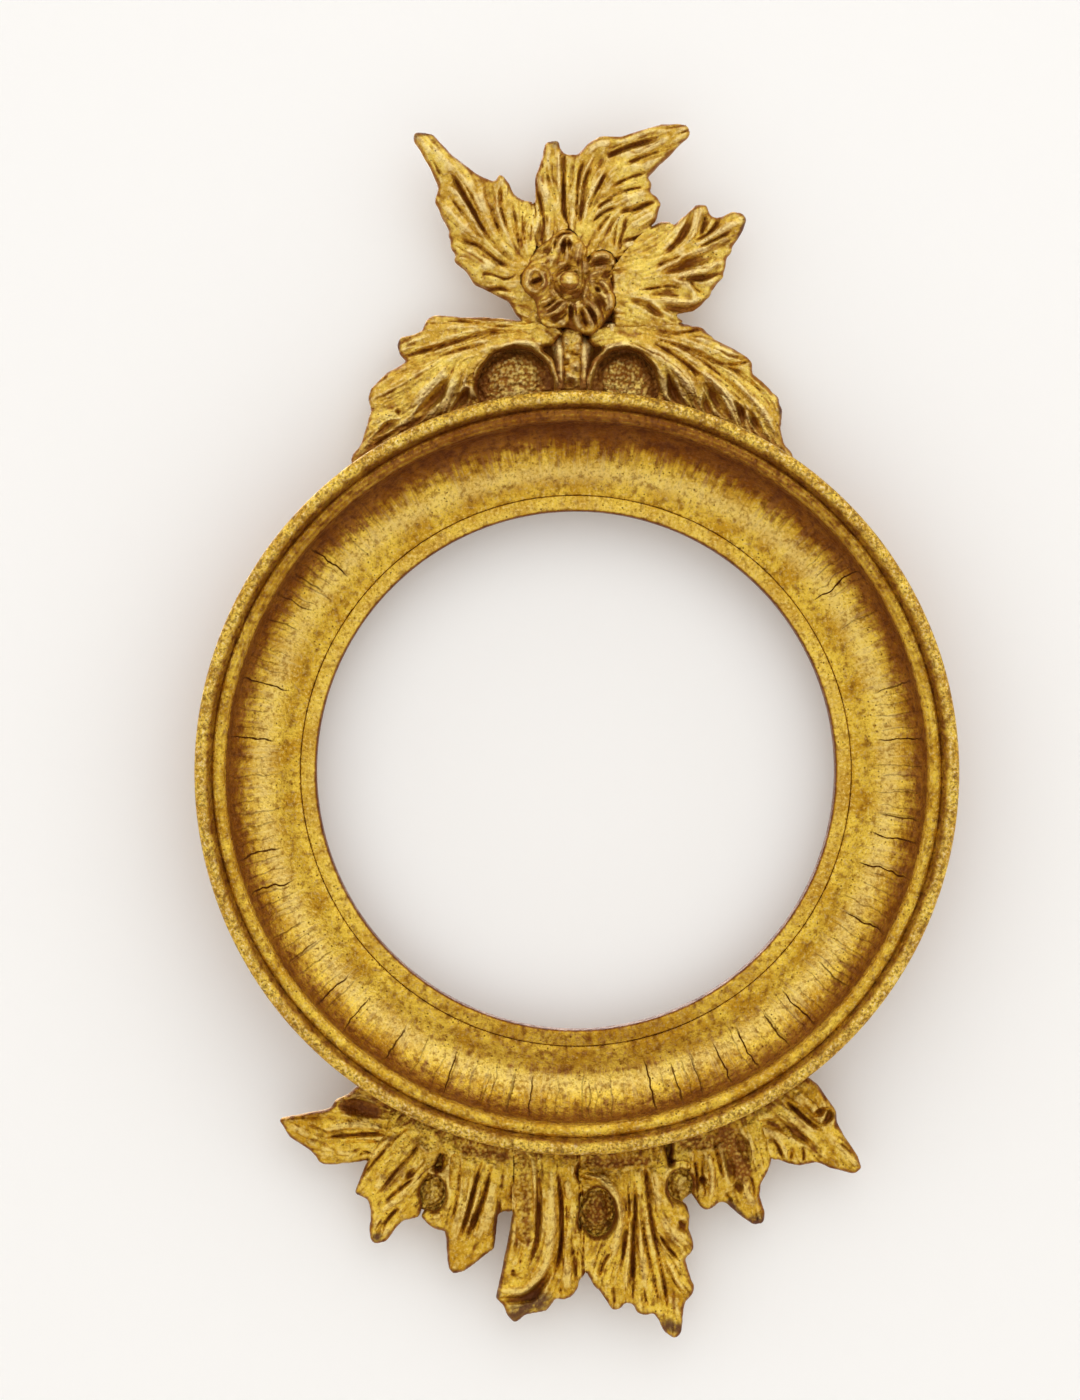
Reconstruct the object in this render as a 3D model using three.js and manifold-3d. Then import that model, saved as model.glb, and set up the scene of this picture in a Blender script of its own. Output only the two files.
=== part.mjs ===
// A round gilded picture frame that hangs on a wall: a turned ring moulding with a narrow sight ring in it,
// a carved crest of shoulder leaves, a three-leaf spray and a flower above, and a carved leaf pendant below.
// Millimetres, +Z up, +X to the right, and the front of the frame faces -Y. The wall is the plane y = 0.
// The origin is the point of the wall hook, at the top of the hanger ring's inside.
// Depths are distances from the wall towards the viewer, so a depth d lies at y = -d.

import * as THREE from "three";
import { mergeVertices } from "three/addons/utils/BufferGeometryUtils.js";
import Module from "manifold-3d";

const wasm = await Module();
wasm.setup();

// Driving dimensions: the opening and the turned ring
const sightRadius = 63.5; // half of a 127 mm (5 inch) round opening
const sightRingWidth = 3.8; // the lip of the sight ring that shows
const sightRingTongue = 3.2; // its flange, tucked behind the moulding
const sightRingFront = 11.4; // depth of the lip's face
const ledgeDepth = 6.5; // depth of the ledge that a picture or glass rests on
const flangeThickness = 2.2;
const coveWidth = 12.6;
const coveHeight = 9.4;
const smallBeadRadius = 1.3;
const outerBeadRadius = 2.1;
const ringDepth = 24; // wall to the top of the outer bead
const moundWidth = 4.6; // flat slope between the cove and the sight ring
const flankInset = 6.2; // how far the ring's flank stands in from its widest edge
const flankStraight = 9; // depth of the straight part of the flank
const seamGap = 0.3; // the joint that shows as a hairline
const fitGap = 0.3; // between carved pieces that meet
const seatGap = 0.15; // between flat faces that are glued or screwed together
const smallBeadDrop = 0.4; // how far the small bead's centre lies behind the outer bead's
const quirkDepth = 0.4; // the narrow groove between the two beads
const quirkWidth = 0.5;
const filletWidth = 0.3; // the small square step between the cove and the small bead
const lipStep = 0.4; // how far the moulding's inner edge lies behind the sight ring's face
const lipRound = 0.7; // rounding of the sight ring's edges

// Driving dimensions: ground boards, battens and screws
const battenThickness = 4;
const battenWidth = 34;
const battenHeight = 24;
const battenOnRing = 10.5; // how far a batten laps onto the ring
const groundThickness = 4;
const screwHeadRadius = 2.7;
const screwHeadDepth = 1.7;
const screwPoint = 1.5;
const screwSink = 0.1; // how far a batten screw's head lies below the batten's face
const screwShankRadius = 1.3;
const screwLength = 7.2;
const screwSlotWidth = 0.8;
const screwSlotDepth = 0.7;
const screwClearance = 0.2;
const screwAside = 11; // from the centre line to a batten screw
const screwFromEdge = 5; // from a batten's upper or lower edge to its screws

// Driving dimensions: hanger
const strapWidth = 8;
const strapLength = 15;
const strapThickness = 0.8;
const wireRadius = 0.85;
const wireClearance = 0.25;
const hangerHalfWidth = 8;
const hangerHeight = 13;
const hangerCorner = 2;
const pivotAboveFlank = 31; // height of the hanger's pivot above the top of the ring's flank
const hangerScrewBelowPivot = 9;
const hangerScrewLength = 5;
const hangerScrewProud = 0.6; // its head stands on the strap's countersink

// Driving dimensions: carving
const webRise = 2.4; // thickness of the web that joins the leaflets of a leaf
const edgeShare = 0.42; // a leaflet's height at its edges, as a share of its crown
const gougeShare = 0.72; // its height in the gouged middle
const ridgePlace = 0.52; // where its two ridges run, as a share of its half width
const eyeRimWidth = 1.0;
const eyeRimRise = 6.4;
const eyeDomeRise = 1.3;
const tipCurl = 3.2; // how far a leaf tip curls forward
const curlRun = 24; // over this distance
const flowerRise = 7.2;
const petalRadius = 4.1;
const petalDish = 2.4;
const petalLip = 1.2;
const beadRadius = 2.4;
const pinRadius = 0.9;
const pinBlind = 2; // the wood left behind the pin
const postBeadRise = 4.2;

// Shares and counts
const petalNarrow = 0.84;
const flowerMiddleShare = 1.7; // the flower's middle, as a share of a petal
const tipReach = 0.75; // a leaflet's rounded nose, as shares of its tip's half width
const tipShare = 0.62;
const rimFade = 0.4;
// Each as a share of the eye's size and a share of the dome's rise.
const eyeDomeLayers = [[0.94, -0.8], [0.94, 0], [0.8, 0.5], [0.45, 0.9]];
const screwTurns = [45, 80, 115, 150];
const leafletSteps = 2;
const rimSteps = 7;
const flareSteps = 3;
const outerBeadSteps = 4;
const smallBeadSteps = 4;
const coveSteps = 5;
const ringSegments = 56;
const eyeSides = 12;
const petalSides = 10;
const beadSides = 12;
const screwSides = 8;
const wireSides = 8;
const facetTolerance = 0.05; // facets flatter than this are merged
const wholeDepth = 60; // deeper than the whole frame, for cuts that go right through

// Worked out from the sizes above
const mouldingBore = sightRadius + sightRingWidth + seamGap;
const rebateRadius = sightRadius + sightRingWidth + sightRingTongue + seamGap;
const coveFoot = mouldingBore + moundWidth;
const coveTop = coveFoot + coveWidth;
const coveFloor = ringDepth - outerBeadRadius * 1.6 - coveHeight;
const smallBeadCentre = coveTop + filletWidth + smallBeadRadius;
const outerBeadCentre = smallBeadCentre + smallBeadRadius + quirkWidth + outerBeadRadius;
const outerRadius = outerBeadCentre + outerBeadRadius;
const flankRadius = outerRadius - flankInset;
const groundBack = battenThickness + seatGap;
const groundFront = groundBack + groundThickness;
const leafBed = groundFront + seatGap;
const strapFront = battenThickness;
const flowerFloor = leafBed + flowerRise * 0.8;
const carvingScale = flankRadius / 86.2; // the carving was drawn for a flank of this radius
const pivotHeight = flankRadius + pivotAboveFlank;
const hookHeight = pivotHeight + hangerHeight - wireRadius;

// Carved leaves. A leaflet is [root, bend, tip, half widths at root, middle and tip]; a web is the outline of
// the blade that joins them. Crest points are measured up from the top of the ring's flank, and pendant points
// down from its bottom. rise is a leaflet's crown above the bed at its root, middle and tip. A leaf with
// flatWithin lies flat within that distance of a point, [x, z, distance], and curls forward beyond it.
const crestLeaves = {
  spray_leaf_centre: {
    rise: [5.6, 5.6, 3.6],
    flatWithin: [-1.6, 33.4, 15],
    web: [
      [-9.5, 36], [-9.8, 53], [-10, 59], [-8.2, 64], [-6.4, 67.6], [-5.2, 67.8], [-2.6, 64.6], [0, 64.2],
      [2.5, 66.8], [6, 68.8], [11, 68.8], [16, 70.4], [21, 71.6], [25.3, 71.5], [28, 69.5], [27, 68],
      [23, 65.8], [20, 64], [17.5, 61], [16, 58.5], [17, 56], [20, 54], [20.6, 51.5], [19.5, 48.5],
      [12, 41], [4, 35],
    ],
    leaflets: [
      [[-7, 36], [-9.5, 52], [-6.6, 66.8], [2.2, 2.8, 1]],
      [[-4, 38], [-5, 54], [-4.9, 67], [2, 2.2, 1]],
      [[-2, 38], [-2, 54], [-0.5, 63.6], [2, 2.4, 1.3]],
      [[0, 38], [0, 57], [6, 67.2], [2, 2.6, 1.5]],
      [[1, 38], [3, 61], [14, 68], [2, 2.8, 1.3]],
      [[2, 38], [6, 65], [26.4, 69.9], [2.2, 2.8, 1.5]],
      [[3, 38], [10, 61], [25, 67.4], [2.2, 3, 1]],
      [[4, 38], [11, 55], [18.8, 62.8], [2.2, 3, 1]],
      [[5, 38], [11, 50], [17, 57.3], [2.4, 3, 1.8]],
      [[6, 37], [13, 47], [19, 52.4], [2.4, 3.4, 2]],
    ],
  },
  spray_leaf_right: {
    rise: [5.6, 5, 3.6],
    flatWithin: [-1.6, 33.4, 17],
    web: [
      [8, 35], [14, 42.5], [20.3, 48], [22.6, 48], [24, 46.6], [26.8, 47.4], [28, 50.6], [29.2, 52.2],
      [32, 52], [32.6, 50], [34, 48.8], [36, 49.3], [38.2, 50.4], [40.2, 50], [41.8, 48.4], [41, 46],
      [39, 43], [37, 40], [36.5, 37], [35.5, 34], [33, 31], [31, 28], [28.8, 26.3], [24, 25.4],
      [27, 23.6], [20, 22.4], [9, 22],
    ],
    leaflets: [
      [[6, 38], [14, 43.5], [22.6, 46.8], [2.4, 3, 1.4]],
      [[9, 36.5], [23, 40], [30.4, 50.8], [2.2, 2.8, 1.6]],
      [[9, 35.5], [27, 38], [40.2, 48.6], [2.2, 3.2, 1.5]],
      [[9, 34.5], [26, 34], [37, 41], [2.2, 3.2, 1.4]],
      [[9, 33], [24, 31], [34.8, 35], [2.2, 3.2, 1.5]],
      [[9, 31.5], [21, 28.5], [31.6, 30.6], [2.2, 3, 1.5]],
      [[9, 29], [17, 26.2], [28.2, 27.6], [2.2, 2.8, 1.4]],
      [[9, 25.5], [16, 24.4], [24, 24], [2.2, 2.2, 1.2]],
    ],
  },
  spray_leaf_left: {
    rise: [5.6, 5.2, 3.4],
    flatWithin: [-1.6, 33.4, 15],
    web: [
      [-8, 37], [-10.4, 53.2], [-12.8, 53.3], [-15.2, 55], [-16.3, 57.5], [-18.3, 60], [-20, 58],
      [-24, 59.5], [-30, 64], [-35.2, 69.2], [-39.6, 69.4], [-37.5, 64.5], [-34.8, 59], [-33.6, 56],
      [-34.4, 53], [-32.8, 49.3], [-30.8, 45.6], [-30.6, 41.6], [-27.3, 36.8], [-25, 33], [-20, 31],
      [-16.5, 29], [-14.8, 25.5], [-12, 23], [-7, 23],
    ],
    leaflets: [
      [[-9, 35], [-27, 45], [-38.6, 68], [2.5, 3, 1.1]],
      [[-9, 36.5], [-20, 52], [-37.2, 68.4], [2.5, 3.4, 0.9]],
      [[-9, 37], [-17, 49], [-18.5, 59], [2.2, 2.9, 0.9]],
      [[-8, 38], [-13, 46], [-12.2, 52], [2, 2.6, 1.3]],
      [[-10, 34.5], [-27, 42], [-33.6, 53], [2.4, 3, 1]],
      [[-10, 34], [-24, 37.5], [-30.2, 44.8], [2.4, 3.2, 1.1]],
      [[-9, 33], [-21, 33.5], [-28.6, 39], [2.4, 3.2, 1.4]],
      [[-8, 31.5], [-18, 30.4], [-24.2, 33.8], [2.4, 2.8, 1.2]],
    ],
  },
  shoulder_leaf_left: {
    rise: [5.2, 5.4, 3.8],
    web: [
      [-3, 22], [-14, 23.6], [-20, 23.6], [-28, 24.6], [-34, 25.6], [-36.6, 24.4], [-37.6, 21.6],
      [-40, 20.6], [-43, 20], [-44, 17.5], [-42.6, 15], [-41, 14], [-46, 11.5], [-50, 7.5], [-51, 5],
      [-50, 2], [-51, -1], [-53, -7], [-55.4, -12.4], [-56, -20], [-40, -14], [-22, -5], [-22, 8],
      [-18, 16], [-5.5, 17.8],
    ],
    leaflets: [
      [[-4, 21], [-20, 23], [-35, 23.2], [2, 2.3, 2]],
      [[-8, 19.6], [-28, 21.5], [-42, 17.3], [2.2, 3.2, 2.2]],
      [[-12, 18.5], [-36, 18], [-48.8, 5.8], [1.8, 3.6, 1.6]],
      [[-14, 17.5], [-36, 13], [-49.4, -0.6], [1.6, 3.4, 1.7]],
      [[-18, 16], [-40, 9], [-53.2, -10], [1.4, 3.4, 2]],
      [[-20, 15], [-36, 7], [-47, -8], [1.4, 3.2, 2.5]],
      [[-20, 15], [-31, 10], [-38.5, -1], [1.4, 2.8, 1.6]],
      [[-23.5, 13], [-27, 8], [-32, 0], [1.2, 2, 1.4]],
    ],
  },
  shoulder_leaf_right: {
    rise: [5.2, 5.4, 3.8],
    web: [
      [1, 22], [9, 21.6], [20, 23.6], [26, 23.4], [30, 22.2], [33, 20.6], [34, 19.4], [38, 17.6], [42, 15],
      [43.2, 13.5], [43, 11], [46, 9], [49, 5.5], [50.6, 2], [50, -2], [51, -6.5], [54.6, -11.5], [55, -20],
      [38, -14], [18.5, -5], [18.5, 8], [15, 16], [4, 17.6],
    ],
    leaflets: [
      [[3, 20.8], [18, 22.6], [30.6, 20.8], [1.8, 2.3, 1.7]],
      [[7, 19.5], [26, 21.5], [41, 13.6], [2.2, 2.8, 1.7]],
      [[10, 18.5], [34, 18], [48.4, 4.4], [1.8, 3.4, 1.6]],
      [[12, 18], [36, 13], [48.8, -1.2], [1.6, 3.2, 1.7]],
      [[14, 17.5], [34, 11], [51.4, -9.5], [1.6, 2.8, 2]],
      [[17, 16.5], [28, 10], [38.5, -2], [1.4, 2.4, 1.3]],
      [[20, 14], [24.5, 9], [30, 0.5], [1.3, 2, 1.2]],
    ],
  },
};
const pendantLeaves = {
  pendant_leaf_centre_left: {
    rise: [4.2, 5.6, 4.2],
    flatWithin: [-8, 0, 36],
    web: [
      [-14, 4], [-15.2, -22], [-15.5, -27], [-17.5, -33], [-18.5, -39], [-19.6, -43], [-17.6, -45],
      [-17, -47], [-15, -49], [-12.5, -47], [-10, -46.6], [-7, -46], [-5.5, -44], [-5, -43], [-3, -43.5],
      [-1, -42.6], [0.6, -40.5], [1, -38.5], [2.2, -37.3], [2.4, -32], [0.5, -26], [0, -14], [1, 4],
    ],
    leaflets: [
      [[-12.4, 2], [-10.4, -22], [-17.6, -42.2], [2.6, 2.8, 1.6]],
      [[-8.6, 2], [-7, -26], [-14.8, -47.2], [2.4, 2.8, 1.4]],
      [[-5, 2], [-3.5, -26], [-8.4, -44.4], [2.2, 3, 1.7]],
      [[-1.5, 2], [-0.5, -24], [-2.2, -41.4], [2.2, 2.4, 1.7]],
    ],
  },
  pendant_leaf_centre_right: {
    rise: [4.2, 5.4, 4],
    flatWithin: [16, 0, 35],
    web: [
      [1.4, 4], [0, -14], [0.6, -26], [2.6, -33], [2.8, -37.3], [5, -40], [7, -43], [9, -45.8],
      [11, -45.6], [12, -44], [14, -44.6], [15, -46.6], [17, -47.3], [19, -46.6], [20.5, -48.5],
      [21.6, -51], [24, -52.7], [25.6, -51.6], [26.1, -48], [26.6, -44], [28.6, -42], [29, -40],
      [28, -38.4], [26, -35.5], [25.5, -33.8], [27.5, -32.8], [29, -31], [28.5, -28.4], [27.6, -26],
      [28, -23], [27, -20], [22.6, -18], [21.6, -8], [22, 4],
    ],
    leaflets: [
      [[7, 2], [15, -20], [9.4, -43.8], [2.2, 2.8, 1.7]],
      [[12, 2], [16.5, -24], [16.8, -45.2], [2.2, 2.8, 1.7]],
      [[16, 2], [18, -28], [24, -50.8], [2.2, 2.8, 1.6]],
      [[19, 0], [19.5, -26], [27.2, -40], [2, 2.8, 1.5]],
      [[20, -4], [20, -21], [27.2, -30.6], [1.8, 2.6, 1.6]],
      [[21, -9], [21, -18], [26.4, -23.4], [1.4, 2.2, 1.5]],
      [[1.6, -29], [3, -32], [5.8, -39.6], [1.6, 2.6, 1.4]],
    ],
  },
  pendant_leaf_mid_left: {
    rise: [4.2, 5, 3.6],
    flatWithin: [-24, 0, 26],
    web: [
      [-37.8, -23], [-36, -25.2], [-34, -26.2], [-32, -26.5], [-31.6, -29], [-31.5, -34], [-30, -37],
      [-27.5, -36.4], [-24, -34], [-21, -31.6], [-20, -31], [-19.5, -27], [-19, -22.6], [-17.6, -21.8],
      [-15, -22.4], [-14, 4], [-30, 8], [-32, -12],
    ],
    leaflets: [
      [[-30.6, -4], [-31, -16], [-33.4, -24.6], [1.8, 2, 1.5]],
      [[-27, 4], [-29.5, -18], [-29.8, -35.4], [2.4, 2.8, 1.4]],
      [[-23, 4], [-25, -18], [-27, -34.6], [2.2, 2.6, 1.3]],
      [[-19, 3], [-21.5, -16], [-21.9, -30.2], [2.2, 2.8, 1.6]],
      [[-16.4, 2], [-17, -11], [-18.4, -17], [1.6, 2.4, 1.2]],
    ],
  },
  pendant_leaf_mid_right: {
    rise: [4.2, 4.8, 3.4],
    flatWithin: [34, 4, 23],
    web: [
      [29, -18.4], [30.5, -20.8], [32, -21.6], [34, -20.8], [35, -19.6], [37, -19.6], [40, -22.6],
      [43.6, -25.2], [46, -24.6], [46.4, -22], [45, -18], [45.4, -15], [46.6, -13], [48, -9.6], [46, -2],
      [42, 8], [24, 8], [23, -10],
    ],
    leaflets: [
      [[24, -1], [30.5, -10], [32.2, -19.4], [2, 2.4, 1.5]],
      [[28, 1], [35, -9], [37, -17.8], [2, 2.4, 1.3]],
      [[33, 3], [38, -12], [44.2, -23], [2.2, 2.8, 1.4]],
      [[37, 4], [44.5, -5], [45.2, -12.6], [2.2, 2.8, 1.4]],
    ],
  },
  pendant_leaf_left: {
    rise: [4.2, 4.8, 3.4],
    flatWithin: [-38, 0, 22],
    web: [
      [-51.5, -10.5], [-53, -14], [-54, -17.4], [-51, -19], [-50.3, -22], [-50.6, -26], [-50.2, -29],
      [-49, -29.7], [-46.5, -29.2], [-44, -25.6], [-42, -24], [-38.4, -23.2], [-37, -18], [-31, -2],
      [-30, 10], [-44, 10], [-47, -4],
    ],
    leaflets: [
      [[-40, 2], [-48, -7], [-52.4, -16.6], [2.4, 2.8, 1.2]],
      [[-37, 0], [-46, -12], [-49.3, -28.4], [2.6, 3, 1]],
      [[-34, -1], [-42, -12], [-46.6, -27.6], [2.2, 2.6, 0.9]],
      [[-31, -1], [-39, -11], [-42, -22.2], [2, 2.6, 1.3]],
    ],
  },
  pendant_leaf_far_left: {
    rise: [4, 4.4, 3.2],
    flatWithin: [-46, 4, 10],
    web: [
      [-72.8, 1], [-70, 1.7], [-63, 2.3], [-60, 3.5], [-59, 5.5], [-56, 6.7], [-46, 16], [-40, 4],
      [-46, -6], [-50, -9], [-52, -9.5], [-57, -10], [-62, -10.3], [-65, -6.8], [-70, -3.5],
    ],
    leaflets: [
      [[-44, 5], [-58, -1], [-71.4, 0.4], [3, 3.4, 1]],
      [[-44, 2], [-54, -5.5], [-62.4, -8.4], [2.6, 3, 1.4]],
      [[-44, 8], [-52, 6], [-57.8, 4.4], [2.2, 2.6, 1.5]],
      [[-42, 0], [-49, -7], [-56.2, -8.4], [2.4, 2.6, 1.3]],
    ],
  },
  pendant_leaf_far_right: {
    rise: [4, 4.4, 3.2],
    flatWithin: [48, 6, 8],
    web: [
      [47.6, -9.4], [49.5, -9], [52, -10], [55, -10.6], [59, -9.6], [63, -11.4], [68, -12.3], [69.9, -11],
      [69, -8], [66, -3.5], [64, 0], [63.8, 2.7], [60, 6], [56, 8.4], [48, 18], [40, 6], [44, 0],
    ],
    leaflets: [
      [[41, 6], [50, -2], [53.6, -8.8], [2.4, 2.8, 1.5]],
      [[45, 7], [57, -4], [67.8, -10.8], [2.6, 3.2, 1.2]],
      [[49, 10], [61, 4], [65.8, -5.6], [2.4, 3, 1.1]],
      [[52, 12], [58, 8.5], [62.4, 2.6], [2, 2.4, 1.4]],
    ],
  },
};

// Eyes: oval holes between the leaves, through which the punched ground board shows.
// [x, z, half width, half height], and the stretch of its edge that carries a raised rim, in degrees.
const crestEyes = [
  { at: [-14.8, 7.6], half: [9.4, 9.8], rim: [-20, 178], on: "shoulder_leaf_left" },
  { at: [12, 7.2], half: [8.1, 9.8], rim: [2, 200], on: "shoulder_leaf_right" },
];
const pendantEyes = [
  { at: [-35, -17.4], half: [3.2, 4.4], rim: [-60, 100], on: "pendant_leaf_mid_left" },
  { at: [5.3, -22.1], half: [4.3, 6.3], rim: [-100, 125], on: "pendant_leaf_centre_right" },
  { at: [25.6, -15.2], half: [3.1, 3.9], rim: [60, 235], on: "pendant_leaf_centre_right" },
];

// The flower: petals as [direction in degrees, distance from its centre].
const flowerCentre = [-1.6, 33.4];
const petals = [[94, 8.9], [30, 8.6], [-30, 9], [-66, 10.2], [-118, 8.6], [178, 8.2], [137, 7.4]];

// Ground boards behind the leaves.
const crestGround = [
  [-54, -22], [-50, -8], [-46, 4], [-40, 12], [-30, 19.5], [-14, 21.5], [-13, 26], [-17, 32], [-14, 42],
  [-4, 47.5], [8, 46], [15, 38], [20, 27], [26, 20], [36, 14], [43, 6], [47, -2], [53, -22],
];
const pendantGround = [
  [-52, 24], [-49, -2], [-44, -12], [-38.6, -21], [-33, -23], [-28, -26], [-22, -20], [-17, -13],
  [-12.6, -20], [-9, -34], [0, -34], [6, -33], [14, -35], [20, -28], [25, -20.5], [29, -17.6], [36, -16],
  [42, -12], [44, -4], [53, 2], [52, 24],
];
// The post between the crest's eyes, like a leaflet, with its two small beads.
const postStem = [[-1, -2], [-0.6, 10], [-0.9, 20.4], [2.4, 2.2, 2.8]];
const postBeads = [[-1.2, 9.4, 1.5], [-0.2, 12.4, 1.3]];
const postRise = [4.2, 4.4, 5];

// Geometry helpers

/** A three.js geometry as a manifold solid, its faces turned outwards. */
function solidOf(geometry) {
  const bare = new THREE.BufferGeometry().setAttribute("position", geometry.getAttribute("position"));
  if (geometry.index) bare.setIndex(geometry.index);
  const merged = mergeVertices(bare, 1e-4);
  const build = (triVerts) =>
    new wasm.Manifold(
      new wasm.Mesh({ numProp: 3, vertProperties: merged.attributes.position.array, triVerts }),
    );
  const triangles = new Uint32Array(merged.index.array);
  const solid = build(triangles);
  return solid.volume() > 0 ? solid : build(triangles.reverse());
}

/** A solid from a list of [x, depth, z] points and a list of triangles' point numbers. */
function solidFrom(points, index) {
  const geometry = new THREE.BufferGeometry();
  const positions = points.flatMap(([x, depth, z]) => [x, -depth, z]);
  geometry.setAttribute("position", new THREE.Float32BufferAttribute(positions, 3));
  geometry.setIndex(index);
  return solidOf(geometry);
}

/** A manifold solid as a flat-shaded three.js geometry. */
function geometryOf(solid) {
  const { numProp, vertProperties, triVerts } = solid.simplify(facetTolerance).getMesh();
  const positions = new Float32Array(triVerts.length * 3);
  triVerts.forEach((vertex, i) => {
    positions.set(vertProperties.subarray(vertex * numProp, vertex * numProp + 3), i * 3);
  });
  const geometry = new THREE.BufferGeometry();
  geometry.setAttribute("position", new THREE.BufferAttribute(positions, 3));
  geometry.computeVertexNormals();
  return geometry;
}

/** The largest of the bodies that a cut leaves. */
function largest(solid) {
  return solid.decompose().reduce((a, b) => (b.volume() > a.volume() ? b : a));
}

/** The union of several solids. */
function join(solids) {
  return solids.reduce((a, b) => a.add(b));
}

/** Triangles of the walls between rings of equal point counts, laid one after another in a list of points. */
function wallsBetween(ringCount, pointCount, closed) {
  const index = [];
  for (let r = 0; r + (closed ? 0 : 1) < ringCount; r++) {
    const next = (r + 1) % ringCount;
    for (let i = 0; i < pointCount; i++) {
      const j = (i + 1) % pointCount;
      const [a, b] = [r * pointCount + i, r * pointCount + j];
      const [c, d] = [next * pointCount + i, next * pointCount + j];
      index.push(a, b, c, b, d, c);
    }
  }
  return index;
}

/** A solid from closed cross-sections of equal point counts; each point is [x, depth, z]. */
function loft(sections) {
  const count = sections[0].length;
  const index = wallsBetween(sections.length, count, false);
  const last = (sections.length - 1) * count;
  for (let i = 1; i + 1 < count; i++) {
    index.push(0, i + 1, i, last, last + i, last + i + 1);
  }
  return solidFrom(sections.flat(), index);
}

/** A flat outline of [x, z] points between two depths. */
function slab(points, back, front) {
  const shape = new THREE.Shape(points.map(([x, z]) => new THREE.Vector2(x, z)));
  const geometry = new THREE.ExtrudeGeometry(shape, { depth: front - back, bevelEnabled: false });
  return solidOf(geometry.rotateX(Math.PI / 2).translate(0, -back, 0));
}

/** A box given by its middle and size in x and z, and its two depths. */
function block([x, z], [width, height], back, front) {
  const geometry = new THREE.BoxGeometry(width, front - back, height);
  return solidOf(geometry.translate(x, -(back + front) / 2, z));
}

/** A turned solid about the y axis from [radius, depth] points that close on themselves or on the axis. */
function turned(profile, segments) {
  const points = profile.map(([radius, depth]) => new THREE.Vector2(radius, -depth));
  if (profile[0][0] > 0) points.push(points[0].clone());
  return solidOf(new THREE.LatheGeometry(points, segments));
}

/** A round rod or hole along y between two depths. */
function rod(radius, back, front, segments) {
  return turned([[0, back], [radius, back], [radius, front], [0, front]], segments);
}

/** A solid moved in the plane of the wall. */
function at([x, z], solid) {
  return solid.translate([x, 0, z]);
}

/** A point at a direction in degrees and a distance from another, in the plane of the wall. */
function polar([x, z], direction, distance) {
  const angle = THREE.MathUtils.degToRad(direction);
  return [x + distance * Math.cos(angle), z + distance * Math.sin(angle)];
}

/** Points along part of an oval, [x, z] or [radius, depth], from one angle to another in degrees. */
function arc([cx, cy], [halfWide, halfHigh], from, to, steps) {
  return Array.from({ length: steps + 1 }, (_, i) => {
    const angle = THREE.MathUtils.degToRad(from + ((to - from) * i) / steps);
    return [cx + halfWide * Math.cos(angle), cy + halfHigh * Math.sin(angle)];
  });
}

/** The points of a whole oval outline. */
function oval(centre, halves, steps) {
  return arc(centre, halves, 0, 360, steps).slice(0, steps);
}

/** An outline moved outwards, each corner along the normal of the line between its neighbours. */
function widened(points, distance) {
  const area = THREE.ShapeUtils.area(points.map(([x, y]) => ({ x, y })));
  const out = Math.sign(area) * distance;
  return points.map(([x, z], i) => {
    const [px, pz] = points[(i + points.length - 1) % points.length];
    const [nx, nz] = points[(i + 1) % points.length];
    const length = Math.hypot(nx - px, nz - pz);
    return [x + (out * (nz - pz)) / length, z - (out * (nx - px)) / length];
  });
}

/** Value at t of a curve with a start, a middle control and an end value. */
function along([start, middle, end], t) {
  return (1 - t) ** 2 * start + 2 * t * (1 - t) * middle + t * t * end;
}

// Turned pieces

/** The ring's flank from the wall out to its widest edge, as [radius, depth] points. */
function flankProfile() {
  const widest = ringDepth - outerBeadRadius;
  const flare = widest - outerBeadRadius;
  return [
    [flankRadius, 0],
    ...arc([flankRadius, flare], [flankInset, flare - flankStraight], -90, 0, flareSteps),
    [outerRadius, widest],
  ];
}

/** The turned moulding: flank, outer bead, small bead, cove, slope to the bore, and the rebate behind. */
function ringMoulding() {
  const outerBeadDepth = ringDepth - outerBeadRadius;
  const smallBeadDepth = outerBeadDepth - smallBeadDrop;
  const coveShoulder = coveFloor + coveHeight;
  const bead = (centre, depth, radius, steps) => arc([centre, depth], [radius, radius], 0, 180, steps);
  return turned(
    [
      ...flankProfile(),
      ...bead(outerBeadCentre, outerBeadDepth, outerBeadRadius, outerBeadSteps).slice(1),
      [outerBeadCentre - outerBeadRadius, outerBeadDepth - quirkDepth],
      [smallBeadCentre + smallBeadRadius, smallBeadDepth - quirkDepth],
      ...bead(smallBeadCentre, smallBeadDepth, smallBeadRadius, smallBeadSteps),
      [smallBeadCentre - smallBeadRadius, coveShoulder + filletWidth],
      ...arc([coveFoot, coveShoulder], [coveWidth, coveHeight], 0, -90, coveSteps),
      [mouldingBore, sightRingFront - lipStep],
      [mouldingBore, ledgeDepth + flangeThickness + seamGap],
      [rebateRadius, ledgeDepth + flangeThickness + seamGap],
      [rebateRadius, 0],
    ],
    ringSegments,
  );
}

/** The narrow ring round the opening, with a flange behind the moulding. */
function sightRing() {
  const lipOuter = sightRadius + sightRingWidth;
  const flangeOuter = lipOuter + sightRingTongue;
  return turned(
    [
      [sightRadius, ledgeDepth],
      [flangeOuter, ledgeDepth],
      [flangeOuter, ledgeDepth + flangeThickness],
      [lipOuter, ledgeDepth + flangeThickness],
      [lipOuter, sightRingFront - lipRound / 2],
      [lipOuter - lipRound / 2, sightRingFront],
      [sightRadius + lipRound, sightRingFront],
      [sightRadius, sightRingFront - lipRound],
    ],
    ringSegments,
  );
}

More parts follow.
